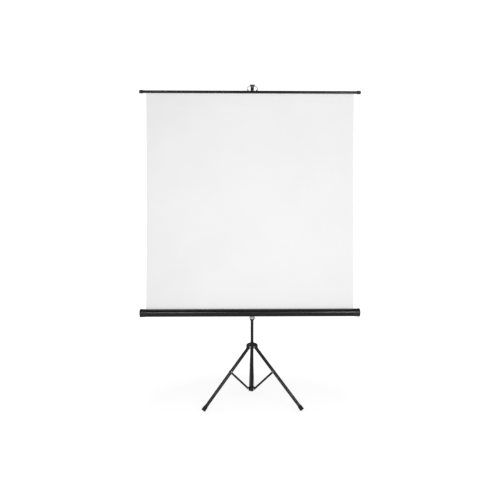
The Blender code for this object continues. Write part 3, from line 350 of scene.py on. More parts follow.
@dataclass(frozen=True)
class FootRubber(Finish):
    """Matt rubber, paler with dust where it meets the floor."""

    name: str = "foot_rubber"
    slot: str = "rubber"
    colour: Colour = (0.012, 0.012, 0.012)
    second: Colour = (0.07, 0.066, 0.06)
    roughness: Point = (0.66, 0.85)
    cloud: Pattern = Pattern(90.0, 5.0)
    gloss: Pattern = Pattern(200.0, 4.0)
    depth: float = 0.08 * MM
    strength: float = 0.7
    grain: Pattern = Pattern(1600.0, 3.0)
    dust_share: float = 0.8
    dust_height: float = 12.0 * MM

    def clouding(self, graph: NodeGraph) -> Socket:
        """Return where the dust lies: in patches, most of it on the floor.

        Args:
            graph: the material's nodes.

        Returns:
            The dust's share, from 0 to 1.
        """
        height = graph.node("SeparateXYZ", vector=graph.place).outputs["Z"]
        low = graph.spread(height, self.dust_share, 0.0, 0.0, self.dust_height)
        return graph.product(low, super().clouding(graph))


@dataclass(frozen=True)
class CastSilver(Finish):
    """Silver metal, brushed round the Z axis."""

    name: str = "cast_silver"
    slot: str = "silver"
    colour: Colour = (0.56, 0.56, 0.57)
    second: Colour = (0.7, 0.7, 0.71)
    roughness: Point = (0.28, 0.42)
    cloud: Pattern = Pattern(40.0, 4.0)
    gloss: Pattern = Pattern(40.0, 4.0)
    depth: float = 0.02 * MM
    strength: float = 0.5
    grain: Pattern = Pattern(40.0, 4.0)
    extra: tuple[tuple[str, float], ...] = (("Metallic", 0.4),)
    stretch: Triple = (1.0, 1.0, 60.0)


@dataclass(frozen=True)
class BrightSteel(Finish):
    """Zinc-plated steel of rivets and rods."""

    name: str = "bright_steel"
    slot: str = "steel"
    colour: Colour = (0.46, 0.46, 0.47)
    second: Colour = (0.62, 0.62, 0.62)
    roughness: Point = (0.2, 0.36)
    cloud: Pattern = Pattern(120.0, 5.0)
    gloss: Pattern = Pattern(500.0, 4.0)
    depth: float = 0.01 * MM
    strength: float = 0.5
    grain: Pattern = Pattern(2500.0, 2.0)
    extra: tuple[tuple[str, float], ...] = (("Metallic", 0.6),)


@dataclass(frozen=True)
class ScreenCloth(Finish):
    """Coated screen cloth: a fine weave under a matt coat."""

    name: str = "screen_cloth_front"
    slot: str = "fabric"
    colour: Colour = (0.812, 0.812, 0.812)
    second: Colour = (0.844, 0.844, 0.844)
    roughness: Point = (0.82, 0.94)
    cloud: Pattern = Pattern(2.2, 3.0)
    gloss: Pattern = Pattern(12.0, 4.0)
    depth: float = 0.05 * MM
    strength: float = 0.6
    extra: tuple[tuple[str, float], ...] = (("Specular IOR Level", 0.25), ("Sheen Weight", 0.04))
    thread: float = 0.6 * MM
    unevenness: float = 0.3

    def bumps(self, graph: NodeGraph) -> Socket:
        """Return the weave, as bands across times bands along.

        Args:
            graph: the material's nodes.

        Returns:
            The weave's height.
        """
        scale = math.tau / (self.thread * WAVE_TURN)
        bands = [graph.node("TexWave", vector=graph.place, wave_type="BANDS", bands_direction=direction,
                            scale=scale, distortion=self.unevenness).outputs["Fac"]
                 for direction in ("X", "Z")]
        return graph.product(*bands)


class Finishes:
    """Every finish of the screen, made once and shared."""

    def __init__(self) -> None:
        """Make the finishes."""
        self.paint = SatinPaint().build()
        # The legs and braces get a lighter copy of the satin black paint. The extra lightness is painted
        # light: it stands in for the reflections of the floor and surroundings that the slanting legs catch.
        self.leg_paint = SatinPaint("leg_black_paint", colour=(0.014, 0.014, 0.0145),
                                    second=(0.021, 0.021, 0.0215), roughness=(0.28, 0.36)).build()
        self.case_paint = SatinPaint("case_black_paint", grain=Pattern(420.0, 2.0)).build()
        self.plastic = MouldedPlastic().build()
        self.rubber = FootRubber().build()
        self.silver = CastSilver().build()
        self.steel = BrightSteel().build()
        self.wire = BrightSteel("dark_zinc_wire", colour=(0.05, 0.05, 0.052), second=(0.09, 0.09, 0.092),
                                roughness=(0.26, 0.38), extra=(("Metallic", 0.9),)).build()
        self.chrome = BrightSteel("chromed_pole", colour=(0.6, 0.6, 0.61), second=(0.7, 0.7, 0.7),
                                  roughness=(0.1, 0.18), extra=(("Metallic", 1.0),)).build()
        self.cloth = ScreenCloth().build()
        self.backing = ScreenCloth("screen_cloth_back", colour=(0.016, 0.016, 0.017),
                                   second=(0.024, 0.024, 0.025)).build()


def middle_of(node: str) -> Vector:
    """Return the middle of a frame node's box."""
    low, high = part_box(node)
    return (low + high) / 2


def width_of(node: str) -> float:
    """Return how wide a frame node is along X."""
    low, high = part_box(node)
    return high.x - low.x


def height_of(node: str) -> float:
    """Return how high a frame node is."""
    low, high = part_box(node)
    return high.z - low.z


def reach_of(node: str) -> float:
    """Return how far a frame node reaches from the middle plane along X."""
    return max(abs(corner.x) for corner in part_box(node))


def slot_reach() -> float:
    """Return how far the fabric's slots reach to each side."""
    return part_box("screen_fabric")[1].x + SLOT_SPARE


AXIS = Vector((middle_of("column_tube").x, middle_of("column_tube").y, 0.0))
COLUMN_PLACE = Matrix.Translation(AXIS)
FABRIC_DEPTH = middle_of("top_bar_tube").y


def rounded(profile: Profile, index: int, radius: float, steps: int = 5) -> list[Point]:
    """Round one corner of a profile.

    Args:
        profile: the points.
        index: which point is the corner.
        radius: how far from the corner the rounding starts.
        steps: how many facets it has.

    Returns:
        The profile with its corner replaced by a curve.
    """
    before, corner, after = (Vector(profile[(index + offset) % len(profile)]) for offset in (-1, 0, 1))
    start = corner + (before - corner).normalized() * radius
    end = corner + (after - corner).normalized() * radius
    curve = []
    for step in range(steps + 1):
        share = step / steps
        point = start * (1 - share) ** 2 + corner * 2 * share * (1 - share) + end * share ** 2
        curve.append((point.x, point.y))
    return list(profile[:index]) + curve + list(profile[index + 1:])


def tube(outer: float, inner: float, top: float, bottom: float) -> list[Point]:
    """Return the profile of a plain tube."""
    return [(outer, top), (outer, bottom), (inner, bottom), (inner, top)]


def arc(centre: Point, radius: float, start: float, end: float, steps: int) -> list[Point]:
    """Return points on an arc, both ends included; angles in radians."""
    angles = [start + (end - start) * step / steps for step in range(steps + 1)]
    return [(centre[0] + radius * math.cos(angle), centre[1] + radius * math.sin(angle)) for angle in angles]


def dome(radius: float, height: float, base: float, steps: int = 6) -> list[Point]:
    """Return a dome's profile from its crown to its rim.

    Args:
        radius: of the rim.
        height: of the crown above the rim.
        base: the rim's height.
        steps: how many facets it has.

    Returns:
        The points of (radius, height).
    """
    angles = [math.pi / 2 * step / steps for step in range(steps + 1)]
    return [(radius * math.sin(angle), base + height * math.cos(angle)) for angle in angles]


def mirrored(profile: Profile) -> list[Point]:
    """Return a profile turned end for end about height zero."""
    return [(radius, -height) for radius, height in reversed(profile)]


def wheel(radii: Sequence[float]) -> list[Point]:
    """Return an outline with these radii, evenly spread round it."""
    angles = [math.tau * step / len(radii) for step in range(len(radii))]
    return [(radius * math.cos(angle), radius * math.sin(angle)) for radius, angle in zip(radii, angles)]


def round_edges(shape: Shape, width: float, steps: int = 2, angle: float = 30.0) -> None:
    """Round the sharp edges of a shape.

    Args:
        shape: the shape to change.
        width: the rounding's width, in metres.
        steps: how many facets it has.
        angle: the least angle of an edge that is rounded, in degrees.
    """
    limit = math.radians(angle)
    sharp = [edge for edge in shape.edges if len(edge.link_faces) == 2 and edge.calc_face_angle() > limit]
    bmesh.ops.bevel(shape, geom=sharp, offset=width, offset_type="OFFSET", affect="EDGES",
                    segments=steps, profile=0.5, clamp_overlap=True, material=-1)


def spin(profile: Profile, place: Matrix, facets: int, ring: bool = False, edge: float = 0.0) -> Shape:
    """Turn a profile about the Z axis of a place.

    Args:
        profile: points of (radius, height).
        place: where the turned shape stands.
        facets: how many steps a full turn has.
        ring: whether the profile closes on itself.
        edge: how much its sharp edges are rounded, in metres.

    Returns:
        The closed shape.
    """
    shape = bmesh.new()
    points = [shape.verts.new((radius, 0.0, height)) for radius, height in profile]
    followers = points[1:] + points[:1] if ring else points[1:]
    lines = [shape.edges.new(pair) for pair in zip(points, followers)]
    bmesh.ops.spin(shape, geom=points + lines, cent=(0, 0, 0), axis=(0, 0, 1), angle=math.tau,
                   steps=facets, use_merge=True)
    bmesh.ops.remove_doubles(shape, verts=shape.verts, dist=MERGE)
    bmesh.ops.recalc_face_normals(shape, faces=shape.faces)
    if edge > 0.0:
        round_edges(shape, edge)
    bmesh.ops.transform(shape, matrix=place, verts=shape.verts)
    return shape


def upright_tube(node: str, wall: float, edge: float) -> Shape:
    """Make a tube on the column's axis.

    Args:
        node: the frame node that gives its size.
        wall: how thick it is.
        edge: how much its rims are rounded.

    Returns:
        The tube.
    """
    low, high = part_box(node)
    radius = width_of(node) / 2
    return spin(tube(radius, radius - wall, high.z, low.z), COLUMN_PLACE, Round.MIDDLE, ring=True, edge=edge)


def sweep(route: Sequence[Vector], radius: float, facets: int) -> Shape:
    """Draw a round wire along a route.

    Args:
        route: the points on the wire's middle.
        radius: the wire's radius, in metres.
        facets: how many sides the wire has.

    Returns:
        The closed shape.
    """
    shape = bmesh.new()
    turn = Vector((0, 0, 1)).rotation_difference(route[1] - route[0])
    ring = bmesh.ops.create_circle(shape, cap_ends=False, radius=radius, segments=facets)["verts"]
    bmesh.ops.transform(shape, matrix=Matrix.Translation(route[0]) @ turn.to_matrix().to_4x4(), verts=ring)
    edges = list(shape.edges)
    bmesh.ops.contextual_create(shape, geom=edges)
    heading = (route[1] - route[0]).normalized()
    for index in range(1, len(route)):
        after = route[min(index + 1, len(route) - 1)]
        toward = (after - route[index - 1]).normalized()
        result = bmesh.ops.extrude_edge_only(shape, edges=edges)["geom"]
        ring = [item for item in result if isinstance(item, bmesh.types.BMVert)]
        edges = [item for item in result if isinstance(item, bmesh.types.BMEdge)
                 and item.verts[0] in ring and item.verts[1] in ring]
        step = heading.rotation_difference(toward).to_matrix().to_4x4()
        move = Matrix.Translation(route[index]) @ step @ Matrix.Translation(-route[index - 1])
        bmesh.ops.transform(shape, matrix=move, verts=ring)
        heading = toward
    bmesh.ops.contextual_create(shape, geom=edges)
    bmesh.ops.recalc_face_normals(shape, faces=shape.faces)
    return shape


def block(low: Sequence[float], high: Sequence[float]) -> Shape:
    """Make a box.

    Args:
        low: its lowest corner.
        high: its highest corner.

    Returns:
        The box.
    """
    shape = bmesh.new()
    bmesh.ops.create_cube(shape, size=1.0)
    bmesh.ops.scale(shape, vec=Vector(high) - Vector(low), verts=shape.verts)
    bmesh.ops.translate(shape, vec=(Vector(high) + Vector(low)) / 2, verts=shape.verts)
    return shape


def prism(outline: Profile, thickness: float, place: Matrix, edge: float, steps: int,
          angle: float = 50.0) -> Shape:
    """Raise an outline to a plate about the middle of a place.

    Args:
        outline: points across the Z axis of the place.
        thickness: along that axis, in metres.
        place: where the plate lies.
        edge: how much its rims are rounded, in metres.
        steps: how many facets each rounded rim has.
        angle: the least angle of an edge that is rounded, in degrees.

    Returns:
        The closed shape.
    """
    shape = bmesh.new()
    face = shape.faces.new([shape.verts.new((across, along, -thickness / 2)) for across, along in outline])
    raised = bmesh.ops.extrude_face_region(shape, geom=[face])["geom"]
    moved = [item for item in raised if isinstance(item, bmesh.types.BMVert)]
    bmesh.ops.translate(shape, vec=(0, 0, thickness), verts=moved)
    bmesh.ops.recalc_face_normals(shape, faces=shape.faces)
    round_edges(shape, edge, steps, angle)
    bmesh.ops.transform(shape, matrix=place, verts=shape.verts)
    return shape


def carve(shape: Shape, cutter: Shape) -> Shape:
    """Cut one shape out of another.

    Args:
        shape: the shape that is cut.
        cutter: the shape that is taken away.

    Returns:
        What is left.
    """
    pair = []
    for part, name in ((shape, "carved"), (cutter, "carver")):
        mesh = bpy.data.meshes.new(name)
        part.to_mesh(mesh)
        part.free()
        pair.append(bpy.data.objects.new(name, mesh))
        bpy.context.scene.collection.objects.link(pair[-1])
    cut = pair[0].modifiers.new("cut", "BOOLEAN")
    cut.solver = "EXACT"
    cut.object = pair[1]
    result = bmesh.new()
    result.from_object(pair[0], bpy.context.evaluated_depsgraph_get())
    for obj in pair:
        bpy.data.meshes.remove(obj.data, do_unlink=True)
    bmesh.ops.remove_doubles(result, verts=result.verts, dist=MERGE)
    return result


def slotted_tube(node: str, wall: float, slot_width: float, side: int, facets: int) -> Shape:
    """Make a lying tube with the slot that the fabric runs through.

    Args:
        node: the frame node that gives its size.
        wall: how thick it is.
        slot_width: how wide the slot is.
        side: 1 for a slot in its top, -1 for one in its underside.
        facets: how many facets go round it.

    Returns:
        The tube.
    """
    low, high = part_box(node)
    centre, radius, reach = middle_of(node), height_of(node) / 2, slot_reach()
    profile = tube(radius, radius - wall, high.x, low.x)
    shape = spin(profile, Matrix.Translation(centre) @ ALONG_X, facets, ring=True)
    bottom, top = sorted((centre.z + side * radius / 2, centre.z + side * radius * 2))
    slot = block((-reach, FABRIC_DEPTH - slot_width / 2, bottom), (reach, FABRIC_DEPTH + slot_width / 2, top))
    return carve(shape, slot)


@dataclass
class SubAssembly:
    """A group of pieces of the screen."""

    finishes: Finishes

    def build(self) -> None:
        """Make the group's pieces."""
        raise NotImplementedError

    @staticmethod
    def hand_over(shape: Shape, name: str, body: str, coat: Coat, node: str | None = None,
                  shade: Shade = Shade.SMOOTH) -> bpy.types.Object:
        """Turn a shape into a piece of the object.

        Args:
            shape: the finished shape, in the frame's coordinates.
            name: the piece's name.
            body: the body that it rides on.
            coat: its finish.
            node: the frame node that it stands for, if any.
            shade: how its faces are shaded.

        Returns:
            The piece.
        """
        mesh = bpy.data.meshes.new(name)
        shape.to_mesh(mesh)
        shape.free()
        mesh.shade_smooth()
        mesh.set_sharp_from_angle(angle=math.radians(shade.value))
        piece = bpy.data.objects.new(name, mesh)
        bpy.context.scene.collection.objects.link(piece)
        mesh.materials.append(coat.material)
        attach(piece, body)
        if node:
            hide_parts(node)
        LOG.info("%s on %s: %d faces", name, body, len(mesh.polygons))
        return piece

    def refine(self, node: str, body: str, coat: Coat, edge: float, steps: int = 3,
               angle: float = 32.0) -> None:
        """Stand a softened copy of a frame node in its place.

        Args:
            node: the frame node.
            body: the body that it rides on.
            coat: its finish.
            edge: the width of its rounded edges, in metres.
            steps: how many facets each rounded edge has.
            angle: the least angle of an edge that is rounded, in degrees.
        """
        shape = bmesh.new()
        shape.from_mesh(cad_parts[node].data)
        bmesh.ops.remove_doubles(shape, verts=shape.verts, dist=MERGE)
        bmesh.ops.dissolve_limit(shape, angle_limit=FLAT_BEND, verts=shape.verts, edges=shape.edges)
        bevel = self.hand_over(shape, node + "_skin", body, coat, node).modifiers.new("edges", "BEVEL")
        bevel.width = edge
        bevel.segments = steps
        bevel.limit_method = "ANGLE"
        bevel.angle_limit = math.radians(angle)
        bevel.harden_normals = True

    @staticmethod
    def dress(coat: Coat, *nodes: str) -> None:
        """Give frame nodes that stay their finish.

        Args:
            coat: the finish.
            nodes: the frame nodes.
        """
        for node in nodes:
            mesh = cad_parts[node].data
            mesh.materials.clear()
            mesh.materials.append(coat.material)
            LOG.info("%s dressed in %s", node, coat.material.name)


@dataclass
class Column(SubAssembly):
    """The black column, its foot plug, and the collar and knob that hold the extension."""

    wall: float = 1.2 * MM
    rim_edge: float = 0.3 * MM
    plug_edge: float = 1.6 * MM
    collar_edge: float = 0.6 * MM
    knob_radius: float = 14.0 * MM
    knob_edge: float = 1.5 * MM
    knob_edge_steps: int = 4
    knob_lobes: int = 5
    knob_lobe_depth: float = 1.6 * MM
    knob_lobe_steps: int = 24
    cap_radius: float = 7.5 * MM
    cap_rise: float = 0.9 * MM
    cap_land: float = 1.0 * MM
    cap_edge: float = 0.8 * MM

    def build(self) -> None:
        """Make the column's pieces."""
        pole = upright_tube("column_tube", self.wall, self.rim_edge)
        self.hand_over(pole, "column_skin", "column", self.finishes.paint, "column_tube")
        self.build_plug()
        self.refine("top_collar", "column", self.finishes.plastic, self.collar_edge)
        self.build_knob()
        self.dress(self.finishes.steel, "lock_screw")

    def build_plug(self) -> None:
        """Make the plug in the column's lower end."""
        low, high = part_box("column_foot_plug")
        radius = width_of("column_tube") / 2
        bore = radius - self.wall - GAP
        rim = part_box("column_tube")[0].z - GAP
        profile = [(0, high.z), (bore, high.z), (bore, rim), (radius, rim), (radius, low.z), (0, low.z)]
        profile = rounded(profile, 4, self.plug_edge)
        self.hand_over(spin(profile, COLUMN_PLACE, Round.SMALL), "column_foot_skin", "column",
                       self.finishes.plastic, "column_foot_plug")

    def build_knob(self) -> None:
        """Make the lobed knob with a round cap in its middle."""
        low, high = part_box("lock_knob")
        thickness = high.y - low.y
        place = Matrix.Translation(middle_of("lock_knob")) @ ALONG_Y
        steps = self.knob_lobe_steps * self.knob_lobes
        waves = [math.cos(self.knob_lobes * (math.tau * step / steps)) for step in range(steps)]
        outline = wheel([self.knob_radius - self.knob_lobe_depth * (1 - wave) / 2 for wave in waves])
        knob = prism(outline, thickness, place, self.knob_edge, self.knob_edge_steps)
        self.hand_over(knob, "lock_knob_skin", "knob", self.finishes.plastic, "lock_knob")
        face, rim = thickness / 2, self.cap_radius
        crown, seat = face + self.cap_rise, face - self.cap_land
        cap = [(0, crown), (rim - self.cap_land, crown), (rim, face), (rim, seat), (0, seat)]
        self.hand_over(spin(rounded(cap, 1, self.cap_edge), place, Round.SMALL), "lock_knob_cap", "knob",
                       self.finishes.plastic)


@dataclass
class Extension(SubAssembly):
    """The bright extension tube with the hook head on its top."""

    wall: float = 1.2 * MM
    rim_edge: float = 0.3 * MM
    head_edge: float = 0.5 * MM

    def build(self) -> None:
        """Make the extension's pieces."""
        pole = upright_tube("extension_tube", self.wall, self.rim_edge)
        self.hand_over(pole, "extension_skin", "extension", self.finishes.chrome, "extension_tube")
        self.dress(self.finishes.plastic, "extension_plug")
        self.refine("hook_head", "extension", self.finishes.plastic, self.head_edge)


@dataclass
class TopBar(SubAssembly):
    """The slotted top bar with its caps, lugs and bail."""

    wall: float = 1.3 * MM
    slot_width: float = 2.4 * MM
    lug_edge: float = 0.5 * MM
    cap_radius: float = 13.5 * MM
    cap_length: float = 29.0 * MM
    cap_socket: float = 9.0 * MM
    cap_groove: float = 1.2 * MM
    cap_groove_steps: tuple[float, float, float, float] = (12.0 * MM, 13.0 * MM, 16.0 * MM, 17.0 * MM)
    cap_disc: float = 0.52
    cap_neck: float = 0.95
    cap_dome: float = 3.0 * MM
    cap_shoulder: float = 3.4 * MM
    cap_dome_steps: int = 8
    cap_disc_steps: int = 5
    cap_mouth_edge: float = 1.6 * MM
    cap_edge: float = 0.25 * MM
    bail_wire: float = 4.0 * MM
    bail_width: float = 80.0 * MM
    bail_rise: float = 29.5 * MM
    bail_corner: float = 26.0 * MM
    bail_corner_steps: int = 20
    bail_foot_bend: float = 2.5 * MM
    bail_bend_steps: int = 8

    def build(self) -> None:
        """Make the bar's pieces."""
        bar = slotted_tube("top_bar_tube", self.wall, self.slot_width, -1, Round.MIDDLE)
        self.hand_over(bar, "top_bar_skin", "top_bar", self.finishes.paint, "top_bar_tube")
        for side in Side:
            self.build_cap(side)
            self.refine("bail_lug_" + side.label, "top_bar", self.finishes.plastic, self.lug_edge)
        self.dress(self.finishes.steel, "hem_rod")
        self.build_bail()

    def build_cap(self, side: Side) -> None:
        """Make one end cap with its ring and groove.

        Args:
            side: which end it is on.
        """
        node = "bar_cap_" + side.label
        end, outer = reach_of(node), self.cap_radius
        inner, bore = end - self.cap_length, height_of("top_bar_tube") / 2 + GAP
        neck, groove = outer * self.cap_neck, outer - self.cap_groove
        lead, top, bottom, tail = (end - step for step in self.cap_groove_steps)
        crown = dome(neck, self.cap_dome, end - self.cap_shoulder, self.cap_dome_steps)
        profile = [(0, end), (outer * self.cap_disc, end)] + crown[self.cap_disc_steps:] + [
            (neck, lead), (groove, top), (groove, bottom), (outer, tail), (outer, inner), (bore, inner),
            (bore, inner + self.cap_socket), (0, inner + self.cap_socket)]
        profile = rounded(profile, len(profile) - 4, self.cap_mouth_edge)
        place = Matrix.Translation(middle_of("top_bar_tube")) @ side.outward
        self.hand_over(spin(profile, place, Round.MIDDLE, edge=self.cap_edge), node + "_skin", "top_bar",
                       self.finishes.plastic, node)

    def build_bail(self) -> None:
        """Make the wire bail."""
        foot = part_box("bail")[0].z + self.bail_wire / 2
        side = self.bail_width / 2
        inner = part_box("bail_lug_right")[0].x - AXIS.x + GAP
        bend = arc((side - self.bail_foot_bend, self.bail_foot_bend), self.bail_foot_bend, -math.pi / 2, 0,
                   self.bail_bend_steps)
        corner = arc((side - self.bail_corner, self.bail_rise - self.bail_corner), self.bail_corner, 0,
                     math.pi / 2, self.bail_corner_steps)
        half = [(inner, 0.0)] + bend + corner
        route = half + [(-across, height) for across, height in reversed(half)]
        points = [Vector((AXIS.x + across, FABRIC_DEPTH, foot + height)) for across, height in route]
        self.hand_over(sweep(points, self.bail_wire / 2, Round.WIRE), "bail_skin", "bail", self.finishes.wire,
                       "bail", Shade.SOFT)


@dataclass
class Case(SubAssembly):
    """The round case with its caps, slot edging, roller and spring."""

    wall: float = 1.3 * MM
    slot_width: float = 5.0 * MM
    edging: float = 0.9 * MM
    flange_length: float = 20.0 * MM
    flange_edge: float = 1.5 * MM
    collar_length: float = 26.0 * MM
    collar_wall: float = 0.8 * MM
    collar_edge: float = 1.2 * MM
    dome_height: float = 8.0 * MM
    dome_steps: int = 16
    roll_wall: float = 0.8 * MM

    def __post_init__(self) -> None:
        """Read the case's middle and radius from its node."""
        self.centre = middle_of("case_tube")
        self.radius = height_of("case_tube") / 2

    def build(self) -> None:
        """Make the case's pieces."""
        case = slotted_tube("case_tube", self.wall, self.slot_width, 1, Round.LARGE)
        self.hand_over(case, "case_skin", "carriage", self.finishes.case_paint, "case_tube")
        for lip in Lip:
            self.build_edging(lip)
        for side in Side:
            self.build_cap(side)
        self.dress(self.finishes.steel, "mandrel_rod", "roller_spring", "roller_tube")
        self.dress(self.finishes.plastic, "spring_anchor", "roller_gudgeon", "spring_plug")
        self.build_roll()

    def build_edging(self, lip: Lip) -> None:
        """Make the rolled lip along one edge of the slot.

        Args:
            lip: which edge it is on.
        """
        depth = FABRIC_DEPTH + lip.value * self.slot_width / 2
        height = self.centre.z + math.sqrt((self.radius - self.wall / 2) ** 2 - (depth - self.centre.y) ** 2)
        route = [Vector((across, depth, height)) for across in (-slot_reach(), 0.0, slot_reach())]
        self.hand_over(sweep(route, self.edging, Round.BEAD), "slot_lip_" + lip.label, "carriage",
                       self.finishes.case_paint, shade=Shade.SOFT)

    def build_cap(self, side: Side) -> None:
        """Make one domed, flanged end cap.

        Args:
            side: which end it is on.
        """
        node = "case_cap_" + side.label
        end, flange = reach_of(node), height_of(node) / 2
        shoulder = end - self.flange_length
        skirt = shoulder - self.collar_length
        bore = self.radius + GAP
        collar = bore + self.collar_wall
        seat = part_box("case_tube")[1].x + GAP
        face = dome(flange, self.dome_height, end - self.dome_height, self.dome_steps)
        profile = face + [(flange, shoulder), (collar, shoulder), (collar, skirt), (bore, skirt),
                          (bore, seat), (0, seat)]
        profile = rounded(profile, len(profile) - 5, self.collar_edge)
        profile = rounded(profile, len(face), self.flange_edge)
        place = Matrix.Translation(self.centre) @ side.outward
        self.hand_over(spin(profile, place, Round.LARGE), node + "_skin", "carriage",
                       self.finishes.plastic, node)

    def build_roll(self) -> None:
        """Wind the fabric that stays on the roller."""
        low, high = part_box("fabric_roll")
        outer = height_of("fabric_roll") / 2
        roll = spin(tube(outer, outer - self.roll_wall, high.x, low.x),
                    Matrix.Translation(middle_of("fabric_roll")) @ ALONG_X, Round.LARGE, ring=True)
        self.hand_over(roll, "fabric_roll_skin", "roller", self.finishes.cloth, "fabric_roll")


@dataclass
class Fabric(SubAssembly):
    """The white screen, stretched between the roller and the bar."""

    columns: int = 200
    rows: int = 160
    thickness: float = 0.5 * MM
    pull: float = 4.5 * MM
    curl: float = 5.0 * MM
    curl_power: int = 6
    fade_power: int = 8
    slow_ripple: float = 0.35 * MM
    slow_waves: Point = (2.1, 1.4)
    slow_phase: float = 0.6
    fine_ripple: float = 0.12 * MM
    fine_waves: Point = (7.3, 1.9)
    fine_phase: float = 0.4
    rear_facing: float = 0.5
    cut: tuple[float, float] = (1.55, 1.6348)

    def build(self) -> None:
        """Make the fabric and hang it between its two ends."""
        low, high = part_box("screen_fabric")
        shape = bmesh.new()
        bmesh.ops.create_grid(shape, x_segments=self.columns, y_segments=self.rows, size=0.5)
        length = high.z - low.z
        for point in shape.verts:
            across, along = 2 * point.co.x, point.co.y + 0.5
            swell = math.sin(math.pi * along)
            half = high.x - self.pull * swell
            lean = self.curl * swell * abs(across) ** self.curl_power
            depth = FABRIC_DEPTH + lean + self.ripple(across, along)
            point.co = (half * across, depth, low.z + length * along)
        bmesh.ops.recalc_face_normals(shape, faces=shape.faces)
        if next(iter(shape.faces)).normal.y > 0:
            bmesh.ops.reverse_faces(shape, faces=shape.faces)
        bmesh.ops.solidify(shape, geom=shape.faces, thickness=self.thickness)
        cloth = self.hand_over(shape, "fabric_sheet", "carriage", self.finishes.cloth, "screen_fabric",
                               Shade.SOFT)
        cloth.data.materials.append(self.finishes.backing.material)
        for face in cloth.data.polygons:
            if face.normal.y > self.rear_facing:
                face.material_index = 1
        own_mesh(cloth)

    def ripple(self, across: float, along: float) -> float:
        """Return how far the fabric stands out of its plane.

        Args:
            across: from -1 at the left edge to 1 at the right edge.
            along: from 0 at the roller to 1 at the bar.

        Returns:
            The depth in metres.
        """
        fade = math.sin(math.pi * along) * (1 - across ** self.fade_power)
        slow_across, slow_along = (math.pi * waves for waves in self.slow_waves)
        fine_across, fine_along = (math.pi * waves for waves in self.fine_waves)
        slow = math.sin(slow_across * across + self.slow_phase) * math.sin(slow_along * along)
        fine = math.sin(fine_across * across) * math.cos(fine_along * along + self.fine_phase)
        return fade * (self.slow_ripple * slow + self.fine_ripple * fine)


@dataclass
class Carriage(SubAssembly):
    """The block on the column that carries the case, its handle, sleeve and screw."""

    block_edge: float = 0.8 * MM
    saddle_edge: float = 0.6 * MM
    sleeve_radius: float = 19.5 * MM
    sleeve_top_edge: float = 1.0 * MM
    sleeve_edge: float = 1.5 * MM
    silver_share: float = 0.66
    lip_setback: float = 1.0 * MM
    lip_waist: float = 0.9
    lip_drop: float = 0.1
    tip_radius: float = 12.5 * MM
    screw_radius: float = 4.5 * MM
    screw_head: float = 6.0 * MM
    screw_teeth: int = 24
    screw_tooth_depth: float = 0.25 * MM
    screw_edge: float = 0.4 * MM
    screw_edge_steps: int = 2
    screw_edge_angle: float = 60.0
    shank_radius: float = 2.5 * MM
    handle_radius: float = 6.0 * MM
    handle_reach: float = 38.0 * MM
    handle_span: float = 84.0 * MM
    handle_corner: float = 22.0 * MM
    handle_corner_steps: int = 14

    def build(self) -> None:
        """Make the carriage's pieces."""
        self.refine("carriage", "carriage", self.finishes.plastic, self.block_edge)
        self.refine("case_saddle", "carriage", self.finishes.plastic, self.saddle_edge)
        self.dress(self.finishes.steel, "pivot_bolt")
        self.build_sleeve()
        self.build_screw()
        self.build_handle()

    def build_sleeve(self) -> None:
        """Make the silver sleeve, made dark towards its lower end by a tapered black plastic lip."""
        low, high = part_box("lock_sleeve")
        radius, length = self.sleeve_radius, high.z - low.z
        bore = width_of("column_tube") / 2 + GAP
        edge = high.z - self.silver_share * length
        silver = [(radius, high.z), (radius, edge), (bore, edge), (bore, high.z)]
        silver = rounded(rounded(silver, 1, self.sleeve_edge), 0, self.sleeve_top_edge)
        # The lower part of the sleeve is made as a black plastic lip, so the sleeve is dark towards its lower
        # end.
        lip = [(radius - self.lip_setback, edge), (radius * self.lip_waist, edge - self.lip_drop * length),
               (self.tip_radius, low.z), (bore, low.z), (bore, edge)]
        lip = rounded(lip, 1, self.sleeve_edge)
        self.hand_over(spin(silver, COLUMN_PLACE, Round.LARGE, ring=True), "sleeve_skin", "carriage",
                       self.finishes.silver, "lock_sleeve")
        self.hand_over(spin(lip, COLUMN_PLACE, Round.LARGE, ring=True), "sleeve_lip", "carriage",
                       self.finishes.plastic)

    def build_screw(self) -> None:
        """Make the screw with its ribbed head."""
        low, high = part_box("height_screw")
        centre = middle_of("height_screw")
        start = high.x - self.screw_head
        outline = wheel([self.screw_radius, self.screw_radius - self.screw_tooth_depth] * self.screw_teeth)
        place = Matrix.Translation((start + self.screw_head / 2, centre.y, centre.z)) @ ALONG_X
        head = prism(outline, self.screw_head, place, self.screw_edge, self.screw_edge_steps,
                     self.screw_edge_angle)
        self.hand_over(head, "height_screw_head", "screw", self.finishes.steel, "height_screw", Shade.CRISP)
        shank = [(0, start), (self.shank_radius, start), (self.shank_radius, low.x), (0, low.x)]
        stem = spin(shank, Matrix.Translation((0, centre.y, centre.z)) @ ALONG_X, Round.STEM)
        self.hand_over(stem, "height_screw_stem", "screw", self.finishes.steel)

    def build_handle(self) -> None:
        """Make the round carry handle on the carriage."""
        low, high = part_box("carriage")
        near, far = high.y + GAP, high.y + self.handle_reach
        middle = (low.z + high.z) / 2
        half, corner = self.handle_span / 2, self.handle_corner
        upper = [(near, middle + half)] + arc((far - corner, middle + half - corner), corner, math.pi / 2, 0,
                                              self.handle_corner_steps)
        route = upper + [(depth, 2 * middle - height) for depth, height in reversed(upper)]
        points = [Vector((AXIS.x, depth, height)) for depth, height in route]
        self.hand_over(sweep(points, self.handle_radius, Round.STEM), "carry_handle_skin", "carriage",
                       self.finishes.plastic, "carry_handle", Shade.SOFT)


